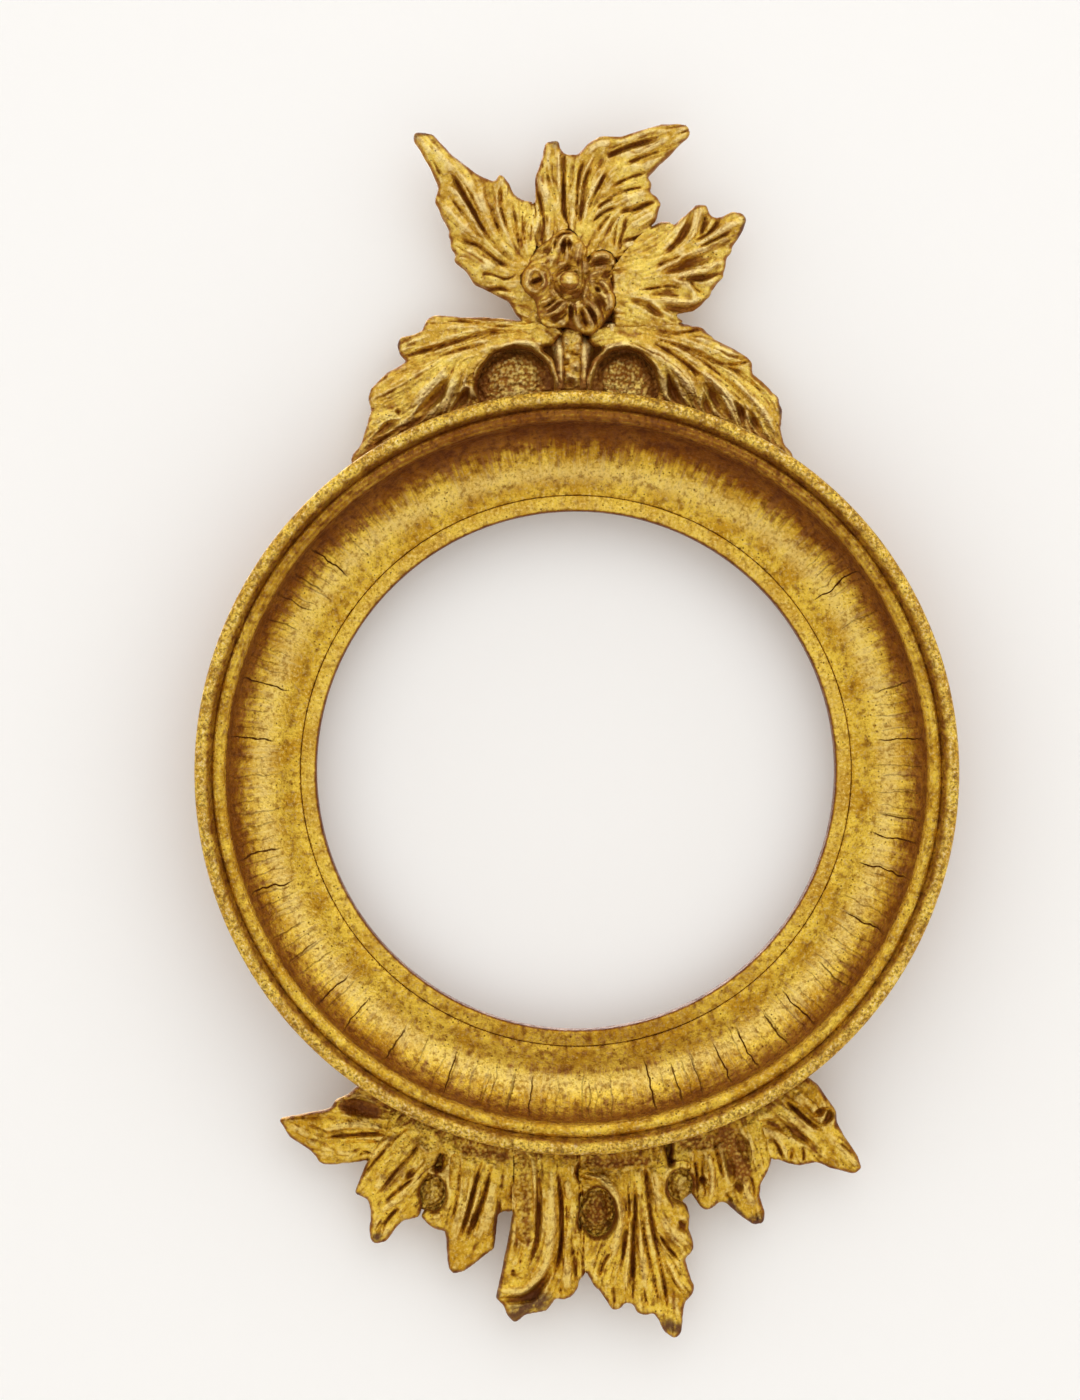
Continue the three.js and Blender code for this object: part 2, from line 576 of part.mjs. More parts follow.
/** Everything within the ring's outside, a gap wider, to cut from what stands round it. */
function ringClearance() {
  const flank = flankProfile().map(([radius, depth]) => [radius + fitGap, depth]);
  const [widest] = flank[flank.length - 1];
  return turned(
    [[0, -1], [flankRadius + fitGap, -1], ...flank, [widest, wholeDepth], [0, wholeDepth]],
    ringSegments,
  );
}

// Carved pieces

// A leaflet's section: places across it from -1 to 1, and its height there as a share of its crown.
const gougedSection = [
  [-1, edgeShare], [-ridgePlace, 1], [0, gougeShare], [ridgePlace, 1], [1, edgeShare],
];
const roundSection = [[-1, 0.75], [0, 1], [1, 0.75]];
const flatSection = [[-1, 1], [1, 1]];

/** A leaflet's stations: place, direction, half width and crown along its spine, with a rounded tip. */
function leafletStations([root, bend, tip, halfWidths], rise) {
  const stations = Array.from({ length: leafletSteps + 1 }, (_, i) => {
    const t = i / leafletSteps;
    return {
      place: [0, 1].map((k) => along([root[k], bend[k], tip[k]], t)),
      way: [0, 1].map((k) => (1 - t) * (bend[k] - root[k]) + t * (tip[k] - bend[k])),
      half: along(halfWidths, t),
      crown: along(rise, t),
    };
  });
  const end = stations[leafletSteps];
  const length = Math.hypot(...end.way);
  const nose = end.place.map((value, k) => value + (end.way[k] / length) * end.half * tipReach);
  stations.push({ ...end, place: nose, half: end.half * tipShare, crown: end.crown * tipShare });
  return stations;
}

/** Stations along an eye's raised rim, lower towards its two ends. */
function rimStations({ at: centre, half, rim }) {
  const [rx, rz] = half.map((value) => value + eyeRimWidth);
  return Array.from({ length: rimSteps + 1 }, (_, i) => {
    const angle = THREE.MathUtils.degToRad(rim[0] + ((rim[1] - rim[0]) * i) / rimSteps);
    return {
      place: [centre[0] + rx * Math.cos(angle), centre[1] + rz * Math.sin(angle)],
      way: [-rx * Math.sin(angle), rz * Math.cos(angle)],
      half: eyeRimWidth,
      crown: eyeRimRise * Math.sin((Math.PI * (i + 1)) / (rimSteps + 2)) ** rimFade,
    };
  });
}

/** A carved strip through its stations, standing on the leaf bed, or on a lower base. */
function strip(stations, section, base = leafBed) {
  return loft(
    stations.map(({ place, way, half, crown }) => {
      const length = Math.hypot(...way);
      const side = [(way[1] / length) * half, (-way[0] / length) * half];
      const across = (u, depth) => [place[0] + side[0] * u, depth, place[1] + side[1] * u];
      const top = section.map(([u, share]) => across(u, leafBed + crown * share));
      return [...top, across(1, base), across(-1, base)];
    }),
  );
}

/** A leaf before its neighbours are cut from it: its web, its leaflets and the eye rims that it carries. */
function carvedLeaf(name, { web, leaflets, rise }, eyes) {
  const blade = slab(web, leafBed, leafBed + webRise);
  const fingers = leaflets.map((leaflet) => strip(leafletStations(leaflet, rise), gougedSection));
  const pierced = eyes.reduce(
    (solid, eye) => solid.subtract(slab(oval(eye.at, eye.half, eyeSides), 0, wholeDepth)),
    join([blade, ...fingers]),
  );
  const rims = eyes.filter((eye) => eye.on === name).map((eye) => strip(rimStations(eye), roundSection));
  return join([pierced, ...rims]);
}

/** What a leaf clears away from the pieces beside it: its own outline, a fit gap wider, at every depth. */
function leafClearance(name, { web, leaflets, rise }, eyes) {
  const wide = (station) => ({ ...station, half: station.half + fitGap, crown: wholeDepth });
  const fingers = leaflets.map((leaflet) => leafletStations(leaflet, rise));
  const rims = eyes.filter((eye) => eye.on === name).map(rimStations);
  return join([
    slab(widened(web, fitGap), 0, wholeDepth),
    ...[...fingers, ...rims].map((stations) => strip(stations.map(wide), flatSection, 0)),
  ]);
}

/** A leaf curled forward beyond the stretch in which it lies flat. */
function curled(solid, flatWithin) {
  if (!flatWithin) return solid;
  const [x, z, reach] = flatWithin;
  return solid.refineToLength(curlRun).warp((vertex) => {
    const beyond = Math.max(0, Math.hypot(vertex[0] - x, vertex[2] - z) - reach);
    vertex[1] -= tipCurl * Math.min(1.3, beyond / curlRun) ** 2;
  });
}

/** A drawn outline, stroke or point list at the ring's size, moved to the ring's top or bottom. */
const seated = (points, seat) => points.map(([x, z]) => [x * carvingScale, z * carvingScale + seat]);
const scaled = (values) => values.map((value) => value * carvingScale);

/** A leaf's drawing moved to where it sits on the ring. */
function seatedLeaf({ web, leaflets, rise, flatWithin }, seat) {
  const [curlAt] = flatWithin ? seated([flatWithin], seat) : [null];
  return {
    rise: scaled(rise),
    web: seated(web, seat),
    leaflets: leaflets.map(([root, bend, tip, half]) => [...seated([root, bend, tip], seat), scaled(half)]),
    flatWithin: flatWithin && [...curlAt, flatWithin[2] * carvingScale],
  };
}

/** Carves a set of leaves in order, each cut by those before it; returns them and all that they take up. */
function carveLeaves(leaves, eyes, seat, first) {
  const solids = {};
  let taken = first;
  Object.entries(leaves).forEach(([name, drawn]) => {
    const leaf = seatedLeaf(drawn, seat);
    const carved = carvedLeaf(name, leaf, eyes).subtract(outside);
    solids[name] = curled(largest(taken ? carved.subtract(taken) : carved), leaf.flatWithin);
    const clear = leafClearance(name, leaf, eyes);
    taken = taken ? taken.add(clear) : clear;
  });
  return { solids, taken };
}

/** A ground board behind the leaves, with a low dome in the bottom of each eye. */
function groundBoard(outline, eyes) {
  const domes = eyes.map(({ at: centre, half }) => {
    const layers = eyeDomeLayers.map(([share, rise]) =>
      oval(centre, half.map((value) => value * share - fitGap), eyeSides)
        .map(([x, z]) => [x, groundFront + eyeDomeRise * rise, z]),
    );
    return loft(layers);
  });
  return largest(join([slab(outline, groundBack, groundFront), ...domes]).subtract(outside));
}

/** The flower's outline as pieces at each petal and one in the middle, made by a function of their radii. */
function petalled(centre, cup, middle) {
  const cups = petals.map(([direction, reach]) =>
    at(
      polar(centre, direction, reach * carvingScale),
      cup(petalRadius).scale([1, 1, petalNarrow]).rotate([0, -direction, 0]),
    ),
  );
  return join([at(centre, middle(petalRadius * flowerMiddleShare)), ...cups]);
}

/** The flower: cupped petals round a low middle. */
function flower(centre) {
  const top = leafBed + flowerRise;
  const cup = (radius) =>
    turned(
      [
        [0, leafBed],
        [radius, leafBed],
        [radius, top - petalLip],
        [radius * 0.82, top],
        [radius * 0.6, top - petalDish * 0.7],
        [0, top - petalDish],
      ],
      petalSides,
    );
  const middle = (radius) => rod(radius, leafBed, flowerFloor, petalSides);
  return petalled(centre, cup, middle);
}

/** The flower's outline, a gap wider, at every depth. */
function flowerClearance(centre) {
  const hole = (radius) => rod(radius + fitGap, 0, wholeDepth, petalSides);
  return petalled(centre, hole, hole);
}

/** The domed bead in the flower's middle, on a pin that goes into it. */
function flowerPin() {
  const seat = flowerFloor + fitGap;
  const head = turned(
    [
      [0, seat],
      ...arc([0, seat + beadRadius * 0.4], [beadRadius, beadRadius], -20, 90, 5),
    ],
    beadSides,
  );
  return join([head, rod(pinRadius, leafBed + pinBlind, seat + 0.2, screwSides)]);
}

// Screws and hanger

/** A countersunk screw's outline from its head's face down, grown by a gap for its hole. */
function screwProfile(gap, length) {
  return [
    [0, -gap],
    [screwHeadRadius + gap, -gap],
    [screwHeadRadius + gap, gap / 2],
    [screwShankRadius + gap, screwHeadDepth + gap / 2],
    [screwShankRadius + gap, length - screwPoint],
    [0, length + gap],
  ];
}

/** A slotted wood screw with its head's face at a depth, its slot turned by some degrees. */
function screw(place, depth, length, turn) {
  const slot = block([0, 0], [screwHeadRadius * 3, screwSlotWidth], -1, screwSlotDepth).rotate([0, turn, 0]);
  const body = turned(screwProfile(0, length), screwSides).subtract(slot);
  return at(place, body.translate([0, -depth, 0]));
}

/** The hole that a screw goes in. */
function screwHole(place, depth, length) {
  const hole = turned(screwProfile(screwClearance, length), screwSides);
  return at(place, hole.translate([0, -depth, 0]));
}

/** A batten that laps from the ring's back onto a ground board, let into the ring, with its four screws. */
function fixBatten(name, solids, seat, up) {
  const middle = seat + up * (battenHeight / 2 - battenOnRing);
  const gap = 2 * fitGap;
  const ground = name + "_ground";
  const housing = block([0, middle], [battenWidth + gap, battenHeight + gap], -1, groundBack);
  let batten = block([0, middle], [battenWidth, battenHeight], 0, battenThickness);
  solids.ring_moulding = solids.ring_moulding.subtract(housing);
  [[-1, 1], [1, 1], [-1, -1], [1, -1]].forEach(([side, row], i) => {
    const place = [side * screwAside, middle + row * (battenHeight / 2 - screwFromEdge)];
    const hole = screwHole(place, screwSink, screwLength);
    batten = batten.subtract(hole);
    solids[ground] = solids[ground].subtract(hole);
    solids.ring_moulding = solids.ring_moulding.subtract(hole);
    solids[name + "_screw_" + (i + 1)] = screw(place, screwSink, screwLength, screwTurns[i]);
  });
  solids[name + "_batten"] = batten;
}

/** The strap's rolled end round the hanger ring's bar, along x. */
function strapCurl(depth, height) {
  const hole = wireRadius + wireClearance;
  const roll = new THREE.Shape().absarc(0, 0, hole + strapThickness, 0, 2 * Math.PI, false);
  roll.holes.push(new THREE.Path().absarc(0, 0, hole, 0, 2 * Math.PI, true));
  const width = { depth: strapWidth, bevelEnabled: false, curveSegments: 8 };
  const geometry = new THREE.ExtrudeGeometry(roll, width);
  return solidOf(geometry.translate(0, 0, -strapWidth / 2).rotateY(Math.PI / 2).translate(0, -depth, height));
}

/** The strap: a plate on the ground board, its top end rolled round the hanger ring's bar. */
function hangerStrap(pivotDepth) {
  const hole = wireRadius + wireClearance;
  const bore = new THREE.CylinderGeometry(hole, hole, strapWidth * 2, 16).rotateZ(Math.PI / 2);
  const plate = block(
    [0, pivotHeight - strapLength / 2],
    [strapWidth, strapLength],
    strapFront - strapThickness,
    strapFront,
  );
  return join([strapCurl(pivotDepth, pivotHeight), plate])
    .subtract(solidOf(bore.translate(0, -pivotDepth, pivotHeight)));
}

/** The hanger ring: wire bent to a D, its straight bar in the strap and its half-round top above. */
function hangerRing(depth) {
  const cornerX = hangerHalfWidth - hangerCorner;
  const cornerZ = pivotHeight + hangerCorner;
  const corner = [hangerCorner, hangerCorner];
  const bow = [0, pivotHeight + hangerHeight - hangerHalfWidth];
  const path = [
    ...arc([-cornerX, cornerZ], corner, 180, 270, 3),
    ...arc([cornerX, cornerZ], corner, 270, 360, 3),
    ...arc(bow, [hangerHalfWidth, hangerHalfWidth], 0, 180, 13),
  ];
  const rings = path.map(([x, z], i) => {
    const [px, pz] = path[(i + path.length - 1) % path.length];
    const [nx, nz] = path[(i + 1) % path.length];
    const length = Math.hypot(nx - px, nz - pz);
    return oval([0, 0], [wireRadius, wireRadius], wireSides).map(([out, forward]) => [
      x + (out * (nz - pz)) / length,
      depth + forward,
      z - (out * (nx - px)) / length,
    ]);
  });
  return solidFrom(rings.flat(), wallsBetween(rings.length, wireSides, true));
}

// Assembly

const outside = ringClearance();
const crestSeat = flankRadius;
const pendantSeat = -flankRadius;
const seatedEyes = (eyes, seat) =>
  eyes.map((eye) => ({ ...eye, at: seated([eye.at], seat)[0], half: scaled(eye.half) }));
const crestHoles = seatedEyes(crestEyes, crestSeat);
const pendantHoles = seatedEyes(pendantEyes, pendantSeat);
const [flowerAt] = seated([flowerCentre], crestSeat);

const crest = carveLeaves(crestLeaves, crestHoles, crestSeat, flowerClearance(flowerAt));
const pendant = carveLeaves(pendantLeaves, pendantHoles, pendantSeat, null);
const solids = { ...crest.solids, ...pendant.solids };

const pinHole = rod(pinRadius + fitGap, leafBed + pinBlind - fitGap, wholeDepth, screwSides);
solids.flower = flower(flowerAt).subtract(at(flowerAt, pinHole));
solids.flower_pin = at(flowerAt, flowerPin());

const stem = [...seated(postStem.slice(0, 3), crestSeat), scaled(postStem[3])];
const beads = postBeads.map(([x, z, radius]) => {
  const [[bx, bz]] = seated([[x, z]], crestSeat);
  return solidOf(new THREE.SphereGeometry(radius, 10, 8).translate(bx, -(leafBed + postBeadRise), bz));
});
solids.crest_post = largest(
  join([strip(leafletStations(stem, postRise), gougedSection), ...beads])
    .subtract(outside)
    .subtract(crest.taken),
);

solids.ring_moulding = ringMoulding();
solids.sight_ring = sightRing();
solids.crest_ground = groundBoard(seated(crestGround, crestSeat), crestHoles);
solids.pendant_ground = groundBoard(seated(pendantGround, pendantSeat), pendantHoles);
fixBatten("crest", solids, crestSeat, 1);
fixBatten("pendant", solids, pendantSeat, -1);

const pivotDepth = strapFront - strapThickness - wireClearance - wireRadius;
const hangerScrewAt = [0, pivotHeight - hangerScrewBelowPivot];
const hangerScrewDepth = strapFront - strapThickness - hangerScrewProud;
const hangerHole = screwHole(hangerScrewAt, hangerScrewDepth, hangerScrewLength);
solids.hanger_strap = hangerStrap(pivotDepth).subtract(hangerHole);
solids.crest_ground = solids.crest_ground.subtract(hangerHole);
solids.hanger_screw = screw(hangerScrewAt, hangerScrewDepth, hangerScrewLength, 20);
solids.hanger_ring = hangerRing(pivotDepth);

// Materials: gilding over brown bole, old bare wood, brass plate and old steel
const gilding = { color: 0xb98a35, roughness: 0.42, metalness: 0.85 };
const bareWood = { color: 0x7a5a3c, roughness: 0.85, metalness: 0 };
const brassPlate = { color: 0xb59a5a, roughness: 0.35, metalness: 1 };
const steel = { color: 0x77736c, roughness: 0.45, metalness: 1 };
const finishOf = (name) => {
  if (name.includes("screw")) return steel;
  if (name.startsWith("hanger")) return brassPlate;
  return name.includes("batten") ? bareWood : gilding;
};

const frame = new THREE.Group();
frame.name = "gilded_frame";
Object.entries(solids).forEach(([name, solid]) => {
  const mesh = new THREE.Mesh(geometryOf(solid), new THREE.MeshStandardMaterial(finishOf(name)));
  mesh.name = name;
  mesh.position.z = -hookHeight;
  frame.add(mesh);
});

export default frame;
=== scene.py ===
"""A gilded round picture frame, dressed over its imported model.

A turned ring of gessoed and gilded wood holds a narrow sight ring. A carved crest of leaves and a flower
stands on it and a carved leaf pendant hangs below it. The carver's cuts are drawn here as strokes, in
millimetres about the ring's centre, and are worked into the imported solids' own outlines and depths.
"""

import logging
import math
from collections.abc import Iterable
from dataclasses import dataclass, field
from enum import Enum

import bpy
import numpy as np
from bpy.types import Material, Node, NodeSocket, NodeTree, Object
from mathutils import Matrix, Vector
from mathutils.bvhtree import BVHTree

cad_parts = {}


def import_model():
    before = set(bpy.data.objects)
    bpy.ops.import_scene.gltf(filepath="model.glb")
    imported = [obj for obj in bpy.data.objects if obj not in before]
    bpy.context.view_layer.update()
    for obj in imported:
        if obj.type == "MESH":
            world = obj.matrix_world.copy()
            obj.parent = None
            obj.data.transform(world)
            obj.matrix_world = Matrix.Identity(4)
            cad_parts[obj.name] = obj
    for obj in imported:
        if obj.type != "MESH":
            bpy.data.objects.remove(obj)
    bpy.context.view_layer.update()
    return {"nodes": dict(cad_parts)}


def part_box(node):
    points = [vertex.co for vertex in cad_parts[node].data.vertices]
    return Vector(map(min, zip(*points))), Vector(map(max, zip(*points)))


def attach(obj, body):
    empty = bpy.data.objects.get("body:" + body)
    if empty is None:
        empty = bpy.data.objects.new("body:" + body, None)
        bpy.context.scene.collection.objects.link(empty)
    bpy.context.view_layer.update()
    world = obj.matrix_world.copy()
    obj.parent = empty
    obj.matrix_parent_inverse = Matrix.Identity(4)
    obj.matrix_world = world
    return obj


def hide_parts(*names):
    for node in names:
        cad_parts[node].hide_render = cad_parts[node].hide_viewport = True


log = logging.getLogger("frame")

MM = 0.001
RING_CENTRE_HEIGHT = -129.35  # of the ring's centre, in millimetres from the hook
PACKED: dict[str, Object] = {}

Point = tuple[float, float]
Grid = np.ndarray
Settings = dict[str | int, object]


# Small helpers for colours, meshes and grids of numbers


def linear(hex_colour: str) -> tuple[float, float, float, float]:
    """Turns an sRGB hex colour into the linear colour that Blender's sockets take.

    Args:
        hex_colour: six hex digits, such as "C08A3A".

    Returns:
        Linear red, green and blue, and an alpha of 1.
    """
    parts = [int(hex_colour[i : i + 2], 16) / 255 for i in (0, 2, 4)]
    red, green, blue = (p / 12.92 if p <= 0.04045 else ((p + 0.055) / 1.055) ** 2.4 for p in parts)
    return red, green, blue, 1.0


def new_piece(name: str, points: Grid, faces: Iterable[tuple[int, ...]]) -> Object:
    """Makes a smooth shaded mesh object with its sharp corners kept.

    Args:
        name: the piece's name.
        points: corners in metres, one row each.
        faces: corner numbers of each face.

    Returns:
        The object, linked into the scene.
    """
    mesh = bpy.data.meshes.new(name)
    mesh.from_pydata(points.tolist(), [], list(faces))
    mesh.update()
    mesh.shade_smooth()
    mesh.set_sharp_from_angle(angle=math.radians(55))
    piece = bpy.data.objects.new(name, mesh)
    bpy.context.scene.collection.objects.link(piece)
    return piece


def put_in_place(
    piece: Object, node: str, materials: Iterable[Material], which: Grid, painted: dict[str, Grid]
) -> Object:
    """Gives a worked piece its finishes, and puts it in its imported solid's place.

    Args:
        piece: the mesh object.
        node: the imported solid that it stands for.
        materials: its finishes.
        which: the number of each face's finish.
        painted: numbers for the finishes to read, one per corner of the mesh, by name.

    Returns:
        The piece.
    """
    for material in materials:
        piece.data.materials.append(material)
    piece.data.polygons.foreach_set("material_index", which.astype(np.int32))
    for name, values in painted.items():
        attribute = piece.data.attributes.new(name, "FLOAT", "POINT")
        attribute.data.foreach_set("value", values.astype(np.float32))
    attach(piece, "frame")
    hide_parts(node)
    return piece


def in_frame(x: Grid, depth: Grid, z: Grid) -> Grid:
    """Turns millimetres about the ring's centre into points of the frame, in metres, one row each."""
    return np.column_stack([x.ravel(), -depth.ravel(), (z + RING_CENTRE_HEIGHT).ravel()]) * MM


def blurred(values: Grid, spread: float) -> Grid:
    """Blurs a grid of numbers.

    Args:
        values: the grid.
        spread: the blur's standard deviation, in cells.

    Returns:
        A grid of the same size.
    """
    reach = int(math.ceil(3 * spread))
    kernel = np.exp(-0.5 * (np.arange(-reach, reach + 1) / spread) ** 2)
    kernel /= kernel.sum()
    for axis in (0, 1):
        edge = [(reach, reach) if a == axis else (0, 0) for a in (0, 1)]
        padded = np.pad(values, edge, mode="edge")
        total = np.zeros_like(values)
        length = values.shape[axis]
        for offset, weight in enumerate(kernel):
            total += weight * np.take(padded, np.arange(offset, offset + length), axis=axis)
        values = total
    return values


def smooth_step(values: Grid, low: float, high: float) -> Grid:
    """Rises smoothly from 0 at low to 1 at high."""
    share = np.clip((values - low) / (high - low), 0, 1)
    return share * share * (3 - 2 * share)


def near(values: Grid, middle: float | Grid, reach: float | Grid) -> Grid:
    """Gives 1 at a middle value, falling away smoothly on both sides within about the reach."""
    return np.exp(-(((values - middle) / reach) ** 2))


def arc(centre: Point, radii: Point, start: float, end: float, steps: int) -> list[Point]:
    """Draws part of an ellipse.

    Args:
        centre: its centre.
        radii: its half widths.
        start: the first angle in degrees.
        end: the last angle.
        steps: how many steps it takes.

    Returns:
        Points of the arc.
    """
    angles = np.radians(np.linspace(start, end, steps + 1))
    return [(centre[0] + radii[0] * math.cos(a), centre[1] + radii[1] * math.sin(a)) for a in angles]


# Finishes


@dataclass(frozen=True)
class Nodes:
    """The node tree of a material or of the world, built up node by node."""

    tree: NodeTree

    def add(self, kind: str, settings: Settings | None = None, output: str | int = 0) -> NodeSocket:
        """Adds a node.

        Args:
            kind: the node's type without the word ShaderNode, such as "TexNoise".
            settings: what the method fill takes.
            output: the name or number of the output that is wanted.

        Returns:
            That output.
        """
        node = self.tree.nodes.new(f"ShaderNode{kind}")
        self.fill(node, settings or {})
        return node.outputs[output]

    def fill(self, node: Node, settings: Settings) -> None:
        """Sets a node's properties, and sets or feeds its inputs.

        Args:
            node: the node.
            settings: values by property name, or by the name or number of the input that a value or
                another node's output goes into.
        """
        for name, value in settings.items():
            if isinstance(value, NodeSocket):
                self.tree.links.new(value, node.inputs[name])
            elif isinstance(name, str) and hasattr(node, name):
                setattr(node, name, value)
            else:
                node.inputs[name].default_value = value

    def noise(self, place: NodeSocket, size: float, detail: float, roughness: float = 0.6) -> NodeSocket:
        """Adds noise with blotches of a size in millimetres, and with a number of finer layers."""
        settings = {"Vector": place, "Scale": 1 / (size * MM), "Detail": detail, "Roughness": roughness}
        return self.add("TexNoise", settings)

    def ramp(
        self,
        value: NodeSocket,
        low: float,
        high: float,
        start: float = 0.0,
        end: float = 1.0,
        kind: str = "SMOOTHSTEP",
    ) -> NodeSocket:
        """Turns a value that runs from low to high into one that runs from start to end."""
        limits = {"From Min": low, "From Max": high, "To Min": start, "To Max": end}
        return self.add("MapRange", {"interpolation_type": kind, "Value": value, **limits})

    def product(self, *values: NodeSocket) -> NodeSocket:
        """Multiplies values.

        Args:
            values: two or more of them.

        Returns:
            Their product.
        """
        total = values[0]
        for value in values[1:]:
            total = self.add("Math", {"operation": "MULTIPLY", 0: total, 1: value})
        return total

    def mixed(self, share: NodeSocket, under: NodeSocket | str, over: str, blend: str = "MIX") -> NodeSocket:
        """Lays a hex colour over another colour, as far as the share says."""
        below = linear(under) if isinstance(under, str) else under
        kind = {"data_type": "RGBA", "blend_type": blend}
        return self.add("Mix", {**kind, 0: share, 6: below, 7: linear(over)}, 2)


def new_material(name: str) -> tuple[Material, Node, Nodes]:
    """Makes a material with a Principled shader.

    Args:
        name: the material's name.

    Returns:
        The material, its shader's node and its node tree.
    """
    material = bpy.data.materials.new(name)
    material.use_nodes = True
    return material, material.node_tree.nodes["Principled BSDF"], Nodes(material.node_tree)


@dataclass(frozen=True)
class Gilding:
    """Oil gilding over gesso, rubbed back and toned with umber wax, which gives warm, broken gold.

    The gold is bright and worn pale on the ridges, and pale painted highlights lie where the light falls on
    it.
    Umber lies in the recesses, and painted shade is laid on in the same way where shade falls. A thin brown
    film and specks of dirt lie over the whole. Where a piece is painted as brushed, the tone is streaked
    outwards from the ring's centre, and where it is speckled, the gold is flecked like sand.
    """

    name: str
    gold: str = "EFC948"
    deep_gold: str = "CC9A25"
    # pale gold of the rubbed places, also laid on as painted highlights and as the broken gold's sparkle
    rubbed_and_highlit: str = "FBDF86"
    thin_wax_and_shade: str = "A88274"  # what a thin coat of umber wax lets through, also laid on as light painted shade
    thick_wax_and_shade: str = "BCA09C"  # what the rest of a thick coat lets through, also laid on as deep painted shade
    umber: str = "5A2F08"
    bare: str = "64402E"
    film: str = "A2721F"
    sand_dark: str = "80602F"
    sand_pale: str = "FBE7B0"
    crack_dark: str = "4A2305"
    patch_size: float = 8.0  # mm across a patch of deeper or paler gold
    mottle_size: float = 1.9  # mm across a blotch of the brown film
    fleck_size: float = 0.75  # mm, the gold's broken sparkle, drawn coarser than it is so that it shows
    grain_size: float = 0.6  # mm, the gesso's brushed grain
    sand_size: float = 0.8  # mm, the sandy flecks, drawn coarser than they are so that they show
    speck_size: float = 1.5  # mm between specks of dirt
    shade_reach: float = 4.0  # mm, how near another surface hides a place from the rubbing cloth
    cracked: bool = False
    crack_spacing: float = 6.8  # mm between the gesso's cracks
    crack_width: float = 0.32  # mm across a crack at its widest
    streak_width: float = 1.1  # mm, the brush marks across the cove
    streak_stretch: float = 0.09  # how fast they change outwards, as a share of how they do round the ring
    cove_radius: float = 79.0  # mm, where the brush marks and cracks are measured round the ring
    crack_inner: float = 75.0  # mm, how far in most cracks run
    crack_outer: float = 85.2
    crack_fade: float = 2.5  # mm over which a crack's ends thin out
    crack_spread: float = 14.0  # mm between the inner ends of the shortest and the longest crack
    uncracked: float = 40.0  # mm either way from the top, where the wax fills the cracks
    mark_share: float = 0.36  # how much the tool or brush marks break up the wax
    mottle_share: float = 0.7  # how much the blotches do
    fleck_share: float = 0.6  # how much the sparkle does
    blotch: float = 0.65  # how brown the film's blotches are
    sparkle: float = 0.6  # how strongly the broken gold sparkles
    roughness: float = 0.40

    def material(self) -> Material:
        """Makes the material, which reads the numbers that are painted on a piece.

        Returns:
            The material.
        """
        material, shader, nodes = new_material(self.name)
        place = nodes.add("TexCoord", output="Object")
        painted = {
            name: nodes.add("Attribute", {"attribute_name": name}, "Fac")
            for name in ("umber_and_shade", "rubbed_and_highlit", "worn", "streak", "brushed", "speckled")
        }
        patches = nodes.noise(place, self.patch_size, 3.0)
        mottle = nodes.noise(place, self.mottle_size, 4.0)
        flecks = nodes.noise(place, self.fleck_size, 2.0)
        marks = self.brush_marks(nodes, place) if self.cracked else painted["streak"]
        # Rubbed places and painted highlights alike are laid on in pale gold.
        pale = nodes.product(painted["rubbed_and_highlit"], nodes.ramp(mottle, 0.3, 0.6, 0.35, 0.85))
        gold = nodes.mixed(nodes.ramp(patches, 0.36, 0.64), self.deep_gold, self.gold)
        gold = nodes.mixed(pale, gold, self.rubbed_and_highlit)
        gold = nodes.mixed(nodes.ramp(mottle, 0.5, 0.66, 0.0, self.blotch), gold, self.film)
        gold = nodes.mixed(nodes.ramp(flecks, 0.53, 0.68, 0.0, self.sparkle), gold, self.rubbed_and_highlit)
        gold = nodes.mixed(nodes.ramp(flecks, 0.47, 0.33, 0.0, self.sparkle), gold, self.film)
        if self.cracked:
            light = nodes.product(nodes.ramp(marks, 0.72, 0.95, 0.0, 0.5), painted["brushed"])
            gold = nodes.mixed(light, gold, self.rubbed_and_highlit)
            sand = nodes.noise(place, self.sand_size, 6.0)
            dark, bright = nodes.ramp(sand, 0.5, 0.4, 0.0, 0.55), nodes.ramp(sand, 0.55, 0.66, 0.0, 0.5)
            gold = nodes.mixed(nodes.product(dark, painted["speckled"]), gold, self.sand_dark)
            gold = nodes.mixed(nodes.product(bright, painted["speckled"]), gold, self.sand_pale)
        wax_and_shade = self.wax_and_shade(nodes, painted, marks, mottle, flecks)
        colour = nodes.mixed(nodes.ramp(wax_and_shade, 0.0, 0.5, kind="LINEAR"), gold, self.thin_wax_and_shade, "MULTIPLY")
        colour = nodes.mixed(nodes.ramp(wax_and_shade, 0.5, 1.0, kind="LINEAR"), colour, self.thick_wax_and_shade, "MULTIPLY")
        bare = nodes.product(painted["worn"], nodes.ramp(mottle, 0.3, 0.52, 0.35, 0.95))
        colour = nodes.mixed(bare, colour, self.bare)
        dirt = nodes.add("TexVoronoi", {"Scale": 1 / (self.speck_size * MM), "Vector": place})
        specks = nodes.product(nodes.ramp(dirt, 0.2, 0.1, 0.0, 0.8), nodes.ramp(patches, 0.5, 0.56))
        colour = nodes.mixed(specks, colour, self.umber)
        normal = self.surface(nodes, place, mottle, flecks)
        if self.cracked:
            cracks = self.cracks(nodes, place)
            colour = nodes.mixed(cracks, colour, self.crack_dark)
            cut = {"invert": True, "Strength": 0.7, "Distance": 0.3 * MM, "Height": cracks, "Normal": normal}
            normal = nodes.add("Bump", cut)
        nodes.fill(
            shader,
            {
                "Base Color": colour,
                "Metallic": nodes.ramp(wax_and_shade, 0.1, 1.0, 0.96, 0.3),
                "Roughness": nodes.ramp(mottle, 0.3, 0.7, self.roughness - 0.08, self.roughness + 0.16),
                "Specular IOR Level": 0.2,
                "Normal": normal,
            },
        )
        return material

